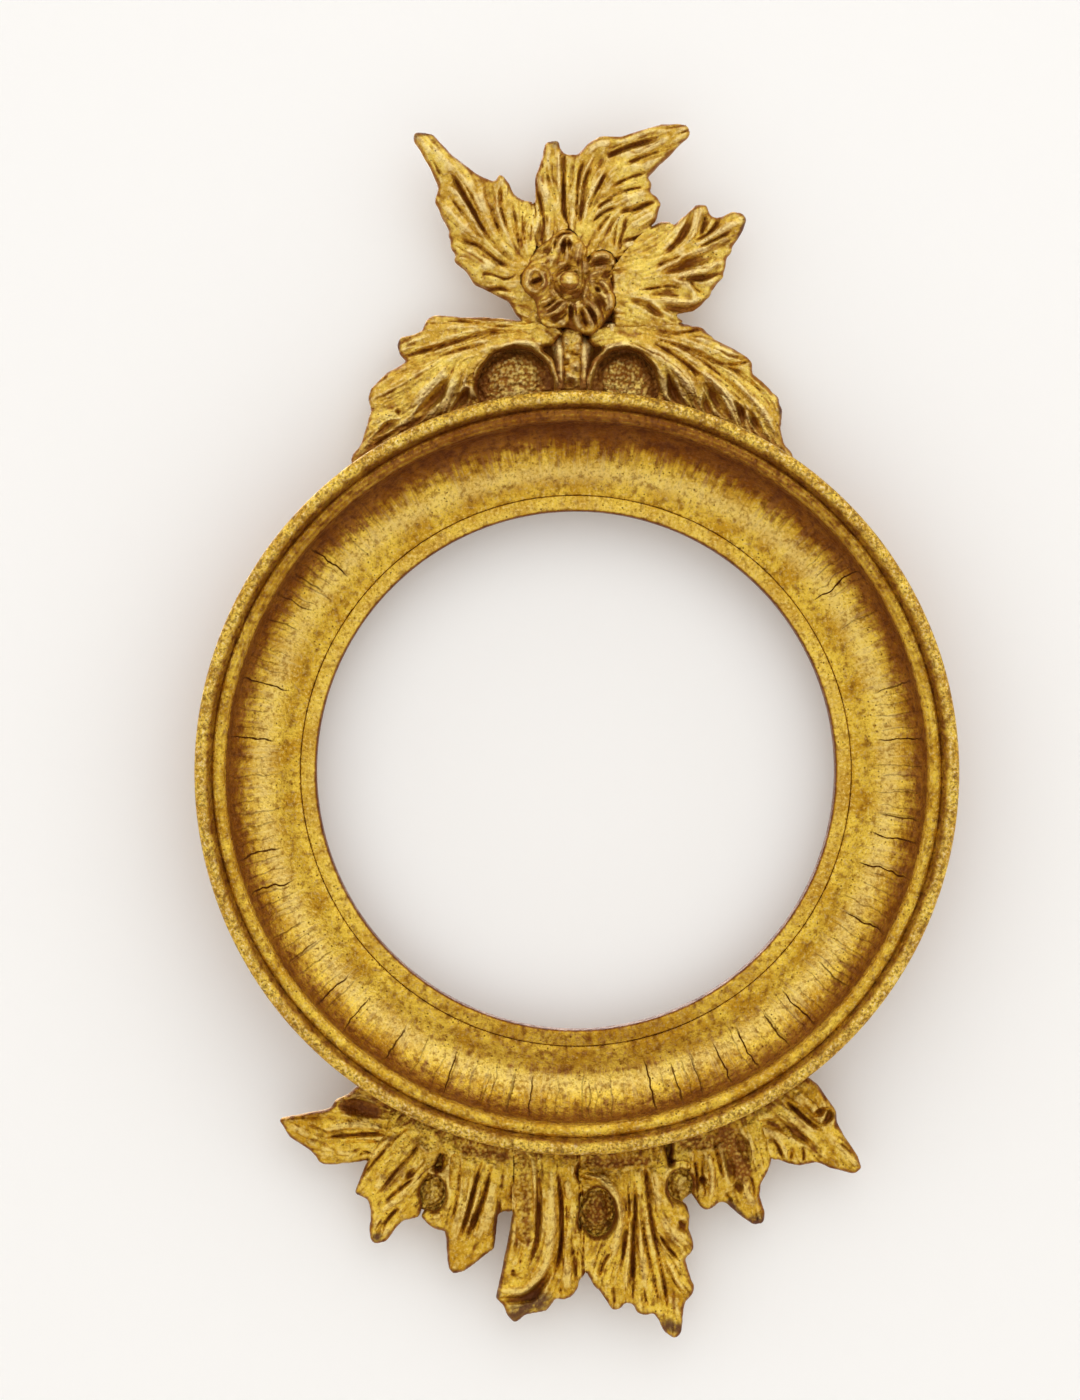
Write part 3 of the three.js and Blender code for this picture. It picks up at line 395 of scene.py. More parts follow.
    def wax_and_shade(
        self,
        nodes: Nodes,
        painted: dict[str, NodeSocket],
        marks: NodeSocket,
        mottle: NodeSocket,
        flecks: NodeSocket,
    ) -> NodeSocket:
        """Works out how much umber wax covers the gold, with the painted shade that is laid on like it.

        Args:
            nodes: the material's node tree.
            painted: the numbers that are painted on the piece, by name.
            marks: the marks of the brush or tool.
            mottle: broad noise.
            flecks: fine noise.

        Returns:
            The share of the gold that it covers.
        """
        open_sky = nodes.add("AmbientOcclusion", {"samples": 6, "Distance": self.shade_reach * MM}, "AO")
        covered = nodes.add("Math", {"operation": "SUBTRACT", 0: 1.0, 1: painted["rubbed_and_highlit"]})
        hidden = nodes.product(nodes.ramp(open_sky, 0.55, 0.1, 0.0, 0.6), covered)
        amount = nodes.add("Math", {"operation": "MAXIMUM", 0: painted["umber_and_shade"], 1: hidden})
        marks = nodes.add("Math", {"operation": "SUBTRACT", 0: marks, 1: 0.5})
        if self.cracked:
            marks = nodes.product(marks, painted["brushed"])
        shares = (marks, self.mark_share), (mottle, self.mottle_share), (flecks, self.fleck_share)
        for noise, share in shares:
            amount = nodes.add("Math", {"operation": "MULTIPLY_ADD", 0: noise, 1: share, 2: amount})
        middle = (self.mottle_share + self.fleck_share) / 2
        return nodes.ramp(amount, middle + 0.12, middle + 0.95, kind="LINEAR")

    def surface(self, nodes: Nodes, place: NodeSocket, mottle: NodeSocket, flecks: NodeSocket) -> NodeSocket:
        """Roughens the surface with the gesso's lumps, broken leaf and brushed grain.

        Args:
            nodes: the material's node tree.
            place: the object coordinates.
            mottle: broad noise.
            flecks: fine noise.

        Returns:
            The bumped normal.
        """
        grain = nodes.noise(place, self.grain_size, 4.0)
        under: Settings = {}
        for height, strength, depth in ((mottle, 0.6, 0.8), (flecks, 0.65, 0.42), (grain, 0.6, 0.3)):
            bump = {"Height": height, "Strength": strength, "Distance": depth * MM, **under}
            under = {"Normal": nodes.add("Bump", bump)}
        return under["Normal"]

    def round_ring(self, nodes: Nodes, place: NodeSocket) -> tuple[NodeSocket, NodeSocket, NodeSocket]:
        """Measures places round the ring.

        Args:
            nodes: the material's node tree.
            place: the object coordinates.

        Returns:
            The place on a circle in the cove, the distance along that circle from the top in metres, and
            the distance from the ring's centre.
        """
        centre = (0, 0, RING_CENTRE_HEIGHT * MM)
        centred = nodes.add("VectorMath", {"operation": "SUBTRACT", 0: place, 1: centre})
        flat = nodes.add("VectorMath", {"operation": "MULTIPLY", 0: centred, 1: (1, 0, 1)})
        radius = nodes.add("VectorMath", {"operation": "LENGTH", 0: flat}, "Value")
        way = nodes.add("VectorMath", {"operation": "NORMALIZE", 0: flat})
        reach = self.cove_radius * MM
        circle = nodes.add("VectorMath", {"operation": "SCALE", 0: way, "Scale": reach})
        x, z = (nodes.add("SeparateXYZ", {"Vector": flat}, axis) for axis in ("X", "Z"))
        angle = nodes.add("Math", {"operation": "ARCTAN2", 0: x, 1: z})
        return circle, nodes.add("Math", {"operation": "MULTIPLY", 0: angle, 1: reach}), radius

    def brush_marks(self, nodes: Nodes, place: NodeSocket) -> NodeSocket:
        """Makes fine noise drawn out along the ring's radius, as a brush leaves it.

        Args:
            nodes: the material's node tree.
            place: the object coordinates.

        Returns:
            The noise, from 0 to 1.
        """
        circle, _, radius = self.round_ring(nodes, place)
        drawn = nodes.add("Math", {"operation": "MULTIPLY", 0: radius, 1: self.streak_stretch})
        outward = nodes.add("CombineXYZ", {"Y": drawn})
        wrapped = nodes.add("VectorMath", {"operation": "ADD", 0: circle, 1: outward})
        return nodes.ramp(nodes.noise(wrapped, self.streak_width, 3.0), 0.3, 0.7)

    def cracks(self, nodes: Nodes, place: NodeSocket) -> NodeSocket:
        """Draws the gesso's fine cracks, which run across the cove, each a single wavering line.

        Args:
            nodes: the material's node tree.
            place: the object coordinates.

        Returns:
            1 in a crack and 0 elsewhere.
        """
        _, along, radius = self.round_ring(nodes, place)
        for size, swing in ((5.0, 2.4), (1.0, 0.35)):
            noise = nodes.noise(place, size, 1.0)
            shift = {"operation": "MULTIPLY_ADD", 0: noise, 1: swing * MM, 2: -swing / 2 * MM}
            along = nodes.add("Math", {"operation": "ADD", 0: along, 1: nodes.add("Math", shift)})
        from_top = nodes.add("Math", {"operation": "ABSOLUTE", 0: along})
        main_cracks = self.crack_lines(nodes, along, radius, self.crack_spacing, 1.0, 0.0)
        fine_cracks = self.crack_lines(nodes, along, radius, self.crack_spacing * 0.45, 0.4, 1.0)
        both = nodes.add("Math", {"operation": "MAXIMUM", 0: main_cracks, 1: fine_cracks})
        return nodes.product(both, nodes.ramp(from_top, self.uncracked * MM, 1.7 * self.uncracked * MM))

    def crack_lines(
        self, nodes: Nodes, along: NodeSocket, radius: NodeSocket, spacing: float, darkest: float, seed: float
    ) -> NodeSocket:
        """Draws one set of cracks.

        Args:
            nodes: the material's node tree.
            along: the distance round the ring in metres.
            radius: the distance from its centre in metres.
            spacing: millimetres between cracks.
            darkest: how dark the darkest is.
            seed: a shift that makes this set differ from another.

        Returns:
            1 in the darkest crack and 0 between cracks.
        """
        shifted = nodes.add("Math", {"operation": "ADD", 0: along, 1: seed})
        kind = {"voronoi_dimensions": "1D", "feature": "DISTANCE_TO_EDGE"}
        edges = nodes.add("TexVoronoi", {**kind, "Scale": 1 / (spacing * MM), "W": shifted})
        change = {"noise_dimensions": "1D", "Scale": 1 / (spacing * 0.8 * MM), "Detail": 1.0, "W": shifted}
        strength = nodes.add("TexNoise", change)
        half = 0.5 * self.crack_width / spacing
        line = nodes.ramp(edges, 1.6 * half, 0.5 * half, 0.0, darkest)
        spread = {"operation": "MULTIPLY_ADD", 0: strength, 1: self.crack_spread * MM, 2: radius}
        reached = nodes.add("Math", spread)
        inner = self.crack_inner + self.crack_spread / 2
        return nodes.product(
            line,
            nodes.ramp(strength, 0.36, 0.6, 0.1, 1.0),
            nodes.ramp(reached, inner * MM, (inner + self.crack_fade) * MM),
            nodes.ramp(radius, self.crack_outer * MM, (self.crack_outer - self.crack_fade) * MM),
        )


@dataclass(frozen=True)
class BareWood:
    """Old limewood, sawn and planed and never finished, which is dry, brown and lined along the grain."""

    name: str = "bare_limewood"
    pale: str = "9C7A50"
    dark: str = "6E4F2E"
    ring_spacing: float = 2.2  # mm between growth lines
    grain_stretch: float = 0.12  # the lines' rate of change along the grain, as a share of that across it

    def material(self) -> Material:
        """Makes the material.

        Returns:
            The material.
        """
        material, shader, nodes = new_material(self.name)
        place = nodes.add("TexCoord", output="Object")
        stretched = nodes.add("Mapping", {"Vector": place, "Scale": (self.grain_stretch, 1.0, 1.0)})
        pattern = {"Scale": 1 / (self.ring_spacing * MM), "Detail": 5.0, "Roughness": 0.6, "Distortion": 0.4}
        grain = nodes.add("TexNoise", {"Vector": stretched, **pattern})
        lines = nodes.ramp(grain, 0.35, 0.65, kind="LINEAR")
        bump = nodes.add("Bump", {"Height": grain, "Strength": 0.4, "Distance": 0.2 * MM})
        colour = nodes.mixed(lines, self.dark, self.pale)
        nodes.fill(shader, {"Base Color": colour, "Roughness": 0.75, "Normal": bump})
        return material


@dataclass(frozen=True)
class SmallMetal:
    """Pressed or turned metal of the fixings, dulled by handling, with fine scratches and dark stains."""

    name: str
    bright: str
    stained: str
    roughness: float = 0.34
    stain_size: float = 2.5  # mm across a stain
    scratch_size: float = 0.25  # mm

    def material(self) -> Material:
        """Makes the material.

        Returns:
            The material.
        """
        material, shader, nodes = new_material(self.name)
        place = nodes.add("TexCoord", output="Object")
        stains = nodes.noise(place, self.stain_size, 5.0, 0.65)
        scratches = nodes.noise(place, self.scratch_size, 3.0, 0.5)
        bump = nodes.add("Bump", {"Height": scratches, "Strength": 0.12, "Distance": 0.1 * MM})
        amount = nodes.ramp(stains, 0.45, 0.7, kind="LINEAR")
        dull = nodes.ramp(stains, 0.0, 1.0, self.roughness, self.roughness + 0.25, "LINEAR")
        colour = nodes.mixed(amount, self.bright, self.stained)
        nodes.fill(shader, {"Base Color": colour, "Metallic": 1.0, "Roughness": dull, "Normal": bump})
        return material


# Carving


class Tool(Enum):
    """What a carver's stroke does to the wood."""

    VEE = "a narrow groove with a sharp bottom"
    GOUGE = "a round bottomed hollow"
    RIDGE = "a raised rib"
    PUNCH = "a patch of ground punched with grains"
    WEAR = "a place where the gold has worn off"
    # Stain strokes lay umber, and also painted shade where a rim or bead shades the surface.
    STAIN_AND_SHADE = "a place where umber wax was left to lie"
    # Rub strokes lay painted highlights and painted pools of light, and rubbed gold.
    RUB_AND_HIGHLIGHT = "a place where the gold was rubbed bright"

    def stroke(self, width: float, depth: float, *points: Point) -> "Stroke":
        """Makes a stroke of this tool."""
        return Stroke(self, width, depth, points)


SURFACE_TOOLS = (Tool.PUNCH, Tool.WEAR, Tool.STAIN_AND_SHADE, Tool.RUB_AND_HIGHLIGHT)
vee, gouge, ridge, punch, wear, stain_and_shade, rub_and_highlight = (tool.stroke for tool in Tool)


@dataclass(frozen=True)
class Stroke:
    """One stroke of a tool, along a smooth line through its points."""

    tool: Tool
    width: float  # mm from its middle to its side
    depth: float  # mm down, or up for a ridge, or from 0 to 1 for wear, for umber and painted shade, and for rubbing and painted highlight
    points: tuple[Point, ...]

    def line(self) -> Grid:
        """Draws the smooth line through the points.

        Returns:
            Places along it, one row each.
        """
        points = np.array(self.points, float)
        if len(points) < 3:
            return points
        ends = np.vstack([2 * points[0] - points[1], points, 2 * points[-1] - points[-2]])
        places = []
        for a, b, c, d in zip(ends, ends[1:], ends[2:], ends[3:]):
            for t in np.arange(0, 1, 0.2):
                bend = (2 * a - 5 * b + 4 * c - d) * t**2 + (3 * b - a - 3 * c + d) * t**3
                places.append(0.5 * (2 * b + (c - a) * t + bend))
        places.append(points[-1])
        return np.array(places)

    def reach(self, x: Grid, z: Grid) -> tuple[Grid, Grid]:
        """Measures how far places are from the stroke.

        Args:
            x: across.
            z: up.

        Returns:
            The distance to the line, and how far along it the nearest point is, from 0 to 1.
        """
        line = self.line()
        if len(line) == 1:
            return np.hypot(x - line[0, 0], z - line[0, 1]), np.full_like(x, 0.5)
        nearest = np.full_like(x, np.inf)
        along = np.zeros_like(x)
        for i, (start, end) in enumerate(zip(line, line[1:])):
            way = end - start
            share = ((x - start[0]) * way[0] + (z - start[1]) * way[1]) / max(way @ way, 1e-9)
            share = np.clip(share, 0, 1)
            away = np.hypot(x - start[0] - share * way[0], z - start[1] - share * way[1])
            closer = away < nearest
            nearest = np.where(closer, away, nearest)
            along = np.where(closer, (i + share) / (len(line) - 1), along)
        return nearest, along

    def mark(self, x: Grid, z: Grid) -> Grid:
        """Gives the stroke's depth over a grid.

        Args:
            x: across.
            z: up.

        Returns:
            The depth in millimetres, 0 outside the stroke.
        """
        away, along = self.reach(x, z)
        fade = 0.45 if self.tool is Tool.GOUGE else 0.22  # of its length, over which an end thins out
        ends = np.clip(np.minimum(along, 1 - along) / fade, 0, 1) ** 0.7
        if len(self.points) == 1 or self.tool in SURFACE_TOOLS:
            ends = np.ones_like(away)
        width = self.width * (0.3 + 0.7 * ends)
        share = away / width
        if self.tool is Tool.VEE:
            return self.depth * ends * (0.66 * np.clip(1 - share, 0, 1) ** 1.2 + 0.34 * near(share, 0, 2.4))
        if self.tool is Tool.GOUGE:
            return self.depth * ends * np.clip(1 - (share / 1.35) ** 2, 0, 1) ** 1.5
        if self.tool is Tool.RIDGE:
            return self.depth * ends * near(share, 0, 1)
        if self.tool is Tool.PUNCH:
            return self.depth * (1 - smooth_step(share, 0.7, 1.2))
        return self.depth * (1 - smooth_step(share, 0.2, 1.4))


@dataclass
class Carving:
    """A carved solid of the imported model, worked finely with strokes."""

    node: str
    strokes: tuple[Stroke, ...]
    pitch: float = 0.25  # mm between its surface's points
    bulk_blur: float = 2.0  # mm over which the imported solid's relief is smoothed
    bed_blur: float = 0.8  # mm over which its back is smoothed
    edge_round: float = 1.5  # mm, the rounding of its front edge
    edge_share: float = 0.4  # height left at the edge, as a share of the thickness
    least_thickness: float = 0.8  # mm
    grain_spacing: float = 0.95  # mm between punched grains
    grain_height: float = 0.5  # mm
    mark_blur: float = 0.7  # cells, how broad a tool mark is
    streak_reach: float = 2.6  # mm, half the length of a tool mark
    streak_depth: float = 0.22  # mm, the depth of tool marks
    rib_blur: float = 0.5  # mm, how broad a rib is
    rib_reach: float = 7.0  # mm, half the length of a rib
    rib_depth: float = 0.36  # mm, the depth of the sharp lines between ribs
    root_radius: float = 92.5  # mm from the ring's centre to where its roots meet the ring
    root_darkening: float = 0.4  # how much darker it is where it meets the ring
    root_reach: float = 6.5  # mm from the ring's edge over which that darkening thins out
    hollow_blur: float = 1.3  # mm over which hollows are told from ridges
    hollow_depth: float = 1.5  # mm, the depth of a hollow that holds as much umber as any
    hollow_stain: float = 0.8  # how much umber that is
    cut_stain: float = 0.25  # how much more lies in the deepest cuts
    line_stain: float = 0.36  # how much lies in the lines between ribs
    pit_stain: float = 0.0  # how dark the pits between punched grains are
    edge_darkening: float = 0.5  # how much darker the rounded outer edges are painted
    edge_reach: Point = (0.3, 1.3)  # mm from the outline over which that darkening thins out
    rubbing_and_highlight: float = 0.8  # how bright the cloth rubs the grains, and how bright the places under the rub strokes are, which are painted highlights
    lump_size: float = 0.4  # mm across the gesso's fine lumps
    lump_depth: float = 0.06  # mm, their depth
    overlap: float = 0.3  # how far it runs under its neighbours, as a share of the outline's softness
    closing: float = 0.0  # mm, gaps in its outline narrower than about twice this are filled
    proud: bool = False  # whether its edge is rounded beside its neighbours too
    outline_blur: float = 1.8  # cells over which its outline is smoothed
    outline_slope: float = 0.28  # how fast that smoothed outline rises, per millimetre
    waver_size: float = 1.2  # mm along its outline's unevenness
    outline_waver: float = 0.22  # mm, the unevenness of its outline
    x: Grid = field(init=False, repr=False)
    z: Grid = field(init=False, repr=False)
    inside: Grid = field(init=False, repr=False)

    def solid_tree(self, nodes: Iterable[str]) -> BVHTree:
        """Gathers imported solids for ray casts.

        Args:
            nodes: their names.

        Returns:
            One tree of all their faces.
        """
        corners: list[Vector] = []
        faces: list[tuple[int, ...]] = []
        for node in nodes:
            mesh = PACKED[node].data
            start = len(corners)
            corners += [vertex.co.copy() for vertex in mesh.vertices]
            faces += [tuple(start + corner for corner in face.vertices) for face in mesh.polygons]
        return BVHTree.FromPolygons(corners, faces)

    def sampled(self) -> tuple[Grid, Grid, Grid]:
        """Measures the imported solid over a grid, and notes where it is.

        Returns:
            The depths of its front and back, and 1 where another carved solid or the ring stands beside it.
        """
        solid = self.solid_tree([self.node])
        shown = [node for node in PACKED if "leaf" in node]
        shown += ["flower", "flower_pin", "crest_post", "ring_moulding"]
        others = self.solid_tree([node for node in shown if node != self.node])
        low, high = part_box(self.node)
        margin = 4 * self.pitch
        across = np.arange(low.x / MM - margin, high.x / MM + margin, self.pitch)
        up = np.arange(low.z / MM - margin, high.z / MM + margin, self.pitch)
        self.inside = np.zeros((len(up), len(across)))
        front, back, beside = (np.zeros_like(self.inside) for _ in range(3))
        inwards = Vector((0, 1, 0))
        away = 0.1  # metres from the wall to where the rays start
        to_ring_back = 0.0895  # metres, so that the boards behind are out of reach
        for row, height in enumerate(up):
            for column, side in enumerate(across):
                start = Vector((side * MM, -away, height * MM))
                seen = solid.ray_cast(start, inwards)[0]
                if seen is None:
                    beside[row, column] = others.ray_cast(start, inwards, to_ring_back)[0] is not None
                    continue
                behind = solid.ray_cast(Vector((side * MM, away, height * MM)), -inwards)[0]
                self.inside[row, column] = 1
                front[row, column] = -seen.y / MM
                back[row, column] = -behind.y / MM
        self.x, self.z = np.meshgrid(across, up - RING_CENTRE_HEIGHT)
        return front, back, beside

    def spread_out(self, values: Grid, spread: float) -> Grid:
        """Smooths values inside the outline only, and carries them a little past it.

        Args:
            values: a grid of numbers.
            spread: the blur in millimetres.

        Returns:
            The smoothed grid.
        """
        cells = spread / self.pitch
        weight = blurred(self.inside, cells)
        return blurred(values * self.inside, cells) / np.maximum(weight, 1e-6)

    def worked(self) -> dict[Tool, Grid]:
        """Adds up the strokes.

        Returns:
            What each tool has done over the grid: millimetres cut away by the narrow groove and the hollow
                alike,
            millimetres raised, and how far punched, worn, stained with umber and painted shade, and rubbed
            and lit with painted highlights.
        """
        done = {tool: np.zeros_like(self.x) for tool in Tool}
        for stroke in self.strokes:
            mark = stroke.mark(self.x, self.z)
            tool = Tool.GOUGE if stroke.tool is Tool.VEE else stroke.tool
            before = done[tool]
            done[tool] = np.maximum(before, mark)
            if tool is Tool.GOUGE:
                done[tool] += 0.25 * np.minimum(before, mark)
            if tool is Tool.PUNCH:
                done[Tool.GOUGE] = np.maximum(done[Tool.GOUGE], mark)
                done[tool] = np.maximum(before, mark / max(stroke.depth, 1e-6))
        return done

    def grains(self) -> Grid:
        """Lays out punched grains, each a small dome of its own size.

        Returns:
            Their height from 0 to 1 over the grid.
        """
        chance = np.random.default_rng(len(self.node))
        spacing = self.grain_spacing
        columns = np.floor(self.x / spacing)
        rows = np.floor(self.z / spacing)
        repeat = 64  # grains before the pattern comes again
        shift = chance.uniform(0.05, 0.95, (2, repeat, repeat))
        size = chance.uniform(0.36, 0.62, (repeat, repeat)) * spacing
        height = np.zeros_like(self.x)
        for right in (-1, 0, 1):
            for above in (-1, 0, 1):
                c, r = columns + right, rows + above
                cell = c.astype(int) % repeat, r.astype(int) % repeat
                middle_x, middle_z = (c + shift[0][cell]) * spacing, (r + shift[1][cell]) * spacing
                away = np.hypot(self.x - middle_x, self.z - middle_z)
                dome = np.sqrt(np.clip(1 - (away / size[cell]) ** 2, 0, 1)) * size[cell] / spacing
                height = np.maximum(height, dome)
        return height

    def cutting_way(self) -> tuple[Grid, Grid]:
        """Finds which way the tools went at each point, from the strokes nearest to it.

        Returns:
            The direction's two parts over the grid.
        """
        cosine, sine = np.zeros_like(self.x), np.zeros_like(self.x)
        for stroke in self.strokes:
            line = stroke.line()
            if len(line) < 2 or stroke.tool in SURFACE_TOOLS:
                continue
            for (x0, z0), (x1, z1) in zip(line[::2], line[1::2]):
                angle = 2 * math.atan2(z1 - z0, x1 - x0)
                weight = 1 / ((self.x - x0) ** 2 + (self.z - z0) ** 2 + 1.0) ** 1.5
                cosine += weight * math.cos(angle)
                sine += weight * math.sin(angle)
        angle = np.arctan2(sine, cosine) / 2
        return np.cos(angle), np.sin(angle)

    def marks(self, way: tuple[Grid, Grid], width: float, reach: float) -> Grid:
        """Draws the marks that tools leave along their way, as noise smeared in that direction.

        Args:
            way: the direction over the grid.
            width: the noise's blur in cells, which sets how broad the marks are.
            reach: half their length in millimetres.

        Returns:
            The marks, 0 on average and mostly within -1 to 1.
        """
        chance = np.random.default_rng(len(self.node) * 7 + int(10 * width))
        noise = blurred(chance.normal(0, 1, self.x.shape), width)
        total = noise.copy()
        last_row, last_column = noise.shape[0] - 1, noise.shape[1] - 1
        for sign in (-1, 1):
            r, c = np.indices(noise.shape).astype(float)
            cell = r.astype(int), c.astype(int)
            for _ in range(int(reach / self.pitch)):
                r = r + sign * way[1][cell]
                c = c + sign * way[0][cell]
                cell = (
                    np.clip(np.rint(r), 0, last_row).astype(int),
                    np.clip(np.rint(c), 0, last_column).astype(int),
                )
                total += noise[cell]
        total = blurred(total, 0.6 * width)
        return (total - total.mean()) / (2 * total.std())

    def outline(self, beside: Grid, chance: np.random.Generator) -> tuple[Grid, Grid]:
        """Softens the outline, makes it a little uneven and runs it under the pieces beside it.

        Args:
            beside: 1 where another worked piece stands.
            chance: the source of the unevenness.

        Returns:
            A smooth field that is 0.5 on the outline and more inside, and the same for the outline of the
            piece and its neighbours together.
        """
        waver = blurred(chance.normal(0, 1, self.x.shape), self.waver_size / self.pitch)
        waver *= self.outline_waver * self.outline_slope / waver.std()
        level = blurred(self.inside, self.outline_blur)
        if self.closing:
            filled = smooth_step(blurred(self.inside, self.closing / self.pitch), 0.2, 0.5)
            level = np.maximum(level, filled * self.inside.any(axis=0) * self.inside.any(axis=1)[:, None])
        joined = level if self.proud else blurred(np.maximum(self.inside, beside), 0.7 / self.pitch)
        shared = smooth_step(joined, 0.6, 0.85)
        return level + waver * (4 * level * (1 - level)) * (1 - shared) + self.overlap * shared, joined

    def rib_lines(self, way: tuple[Grid, Grid], chance: np.random.Generator) -> Grid:
        """Draws the sharp lines between fine ribs, which come and go.

        Args:
            way: which way the tools went.
            chance: what makes them come and go.

        Returns:
            1 on the sharpest line and 0 between lines.
        """
        ribs = self.marks(way, self.rib_blur / self.pitch, self.rib_reach)
        change = blurred(chance.normal(0, 1, self.x.shape), 2.0 / self.pitch)
        change = smooth_step(change / change.std(), -0.8, 0.8)
        return near(ribs, 0, 0.14) * (0.35 + 0.65 * change) * (self.rib_depth > 0)

    def build(self, material: Material, bare: Material) -> Object:
        """Makes the carved piece.

        Args:
            material: its finish.
            bare: the finish of its back.

        Returns:
            The piece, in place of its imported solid.
        """
        front, back, beside = self.sampled()
        chance = np.random.default_rng(len(self.node) * 3 + 2)
        level, joined = self.outline(beside, chance)
        bed = self.spread_out(back, self.bed_blur)
        done = self.worked()
        cut, punched, rub_and_highlight_share = done[Tool.GOUGE], done[Tool.PUNCH], done[Tool.RUB_AND_HIGHLIGHT]
        way = self.cutting_way()
        marks = (1 - punched) * self.marks(way, self.mark_blur, self.streak_reach)
        lines = self.rib_lines(way, chance)
        lumps = blurred(chance.normal(0, 1, self.x.shape), self.lump_size / self.pitch)
        grains = punched * self.grains()
        pits = self.pit_stain * (punched - grains)
        surface = self.spread_out(front, self.bulk_blur) + done[Tool.RIDGE] - cut
        surface += self.grain_height * grains + self.lump_depth * lumps / lumps.std()
        surface += self.streak_depth * marks - self.rib_depth * lines * (1 - punched)
        self.x, self.z = self.snapped(level)
        away = self.from_edge(level, joined)
        rounding = np.clip(1 - away / self.edge_round, 0, 1)
        share = self.edge_share + (1 - self.edge_share) * np.sqrt(1 - rounding**2)
        surface = bed + np.maximum(surface - bed, self.least_thickness) * share
        hollow = self.spread_out(surface, self.hollow_blur) - surface
        umber_and_shade = self.hollow_stain * np.clip(hollow / self.hollow_depth, 0, 1) ** 0.8
        umber_and_shade += self.cut_stain * smooth_step(cut, 1.0, 3.0)
        from_root = np.hypot(self.x, self.z) - self.root_radius
        # darker where the piece meets the ring
        root = self.root_darkening * (1 - smooth_step(from_root, 0, self.root_reach))
        # the rounded outer edges are painted darker
        rim = self.edge_darkening * (1 - smooth_step(away, *self.edge_reach))
        # Umber in the hollows, cuts and rib lines, with the stain strokes' umber and painted shade and the
        # darkened edges and roots.
        umber_and_shade = np.maximum.reduce([umber_and_shade, self.line_stain * lines, pits, done[Tool.STAIN_AND_SHADE], root, rim])
        umber_and_shade = np.clip(umber_and_shade + 0.25 * root, 0, 1) * (1 - self.rubbing_and_highlight * grains)
        # Rub strokes clear it and lay painted highlights.
        umber_and_shade *= 1 - rub_and_highlight_share * (1 - pits)
        rubbed_and_highlit = smooth_step(-hollow, 0.1, 0.5) * (1 - umber_and_shade) * (1 - rim)
        rubbed_and_highlit = np.maximum.reduce([rubbed_and_highlit, self.rubbing_and_highlight * rub_and_highlight_share * (1 - pits), self.rubbing_and_highlight * grains])
        painted = {"umber_and_shade": umber_and_shade, "rubbed_and_highlit": rubbed_and_highlit, "worn": done[Tool.WEAR], "streak": 0.5 - 0.5 * marks}
        return self.mesh(level >= 0.5, surface, bed, painted, [material, bare])

    def snapped(self, level: Grid) -> tuple[Grid, Grid]:
        """Moves the grid points just outside the outline onto it.

        Args:
            level: a smooth field that is 0.5 on the outline and more inside.

        Returns:
            Where each grid point goes, across and up.
        """
        slope_z, slope_x = np.gradient(level, self.pitch)
        steep = np.maximum(slope_x**2 + slope_z**2, 1e-6)
        step = np.where(level < 0.5, (0.5 - level) / steep, 0)
        reach = np.abs(step) * np.sqrt(steep)
        furthest = 1.3 * self.pitch
        step = np.where(reach > furthest, step * furthest / np.maximum(reach, 1e-9), step)
        return self.x + step * slope_x, self.z + step * slope_z

    def from_edge(self, level: Grid, joined: Grid) -> Grid:
        """Measures how far points are inside the outline, where nothing carved stands beside it.

        Args:
            level: a smooth field that is 0.5 on the outline.
            joined: a smooth field that is 0.5 on the outline of the piece and its neighbours.

        Returns:
            The distance in millimetres.
        """
        near_outline = blurred((level >= 0.5).astype(float), 1.0) > 0.02
        rim = near_outline & (level < 0.5) & (joined < 0.7)
        rim_x, rim_z = self.x[rim], self.z[rim]
        away = np.full_like(self.x, self.edge_round)
        if not len(rim_x):
            return away
        inner = np.argwhere(level >= 0.5)
        at_once = 1500  # points, to spare memory
        for block in np.array_split(inner, max(1, len(inner) // at_once)):
            cell = block[:, 0], block[:, 1]
            away[cell] = np.hypot(self.x[cell][:, None] - rim_x, self.z[cell][:, None] - rim_z).min(axis=1)
        away[rim] = 0
        return away

    def mesh(
        self, keep: Grid, surface: Grid, bed: Grid, painted: dict[str, Grid], materials: list[Material]
    ) -> Object:
        """Closes the worked front with a back and sides.

        Args:
            keep: which grid points are inside the outline.
            surface: depth of the front.
            bed: depth of the back.
            painted: numbers for the material, by name.
            materials: the finishes of its front and back.

        Returns:
            The piece.
        """
        cells = keep[:-1, :-1] | keep[1:, :-1] | keep[:-1, 1:] | keep[1:, 1:]
        used = np.zeros_like(keep)
        for rows in (slice(None, -1), slice(1, None)):
            for columns in (slice(None, -1), slice(1, None)):
                used[rows, columns] |= cells
        number = np.full(keep.shape, -1)
        count = int(used.sum())
        number[used] = np.arange(count)
        corners = (number[:-1, :-1], number[:-1, 1:], number[1:, 1:], number[1:, :-1])
        front_faces = np.column_stack([corner[cells] for corner in corners])
        back_faces = front_faces[:, ::-1] + count
        edges = np.vstack([front_faces[:, [i, (i + 1) % 4]] for i in range(4)]).astype(np.int64)
        there = edges[:, 0] * count * 2 + edges[:, 1]
        back_again = edges[:, 1] * count * 2 + edges[:, 0]
        rim = edges[~np.isin(there, back_again)]
        sides = np.column_stack([rim[:, 1], rim[:, 0], rim[:, 0] + count, rim[:, 1] + count])
        x, z = self.x[used], self.z[used]
        points = np.vstack([in_frame(x, surface[used], z), in_frame(x, bed[used], z)])
        faces = np.vstack([front_faces, back_faces, sides])
        piece = new_piece(f"carved_{self.node}", points, map(tuple, faces.tolist()))
        which = np.repeat([0, 1, 0], [len(front_faces), len(back_faces), len(sides)])
        values = {name: np.concatenate([grid[used], np.zeros(count)]) for name, grid in painted.items()}
        return put_in_place(piece, self.node, materials, which, values)


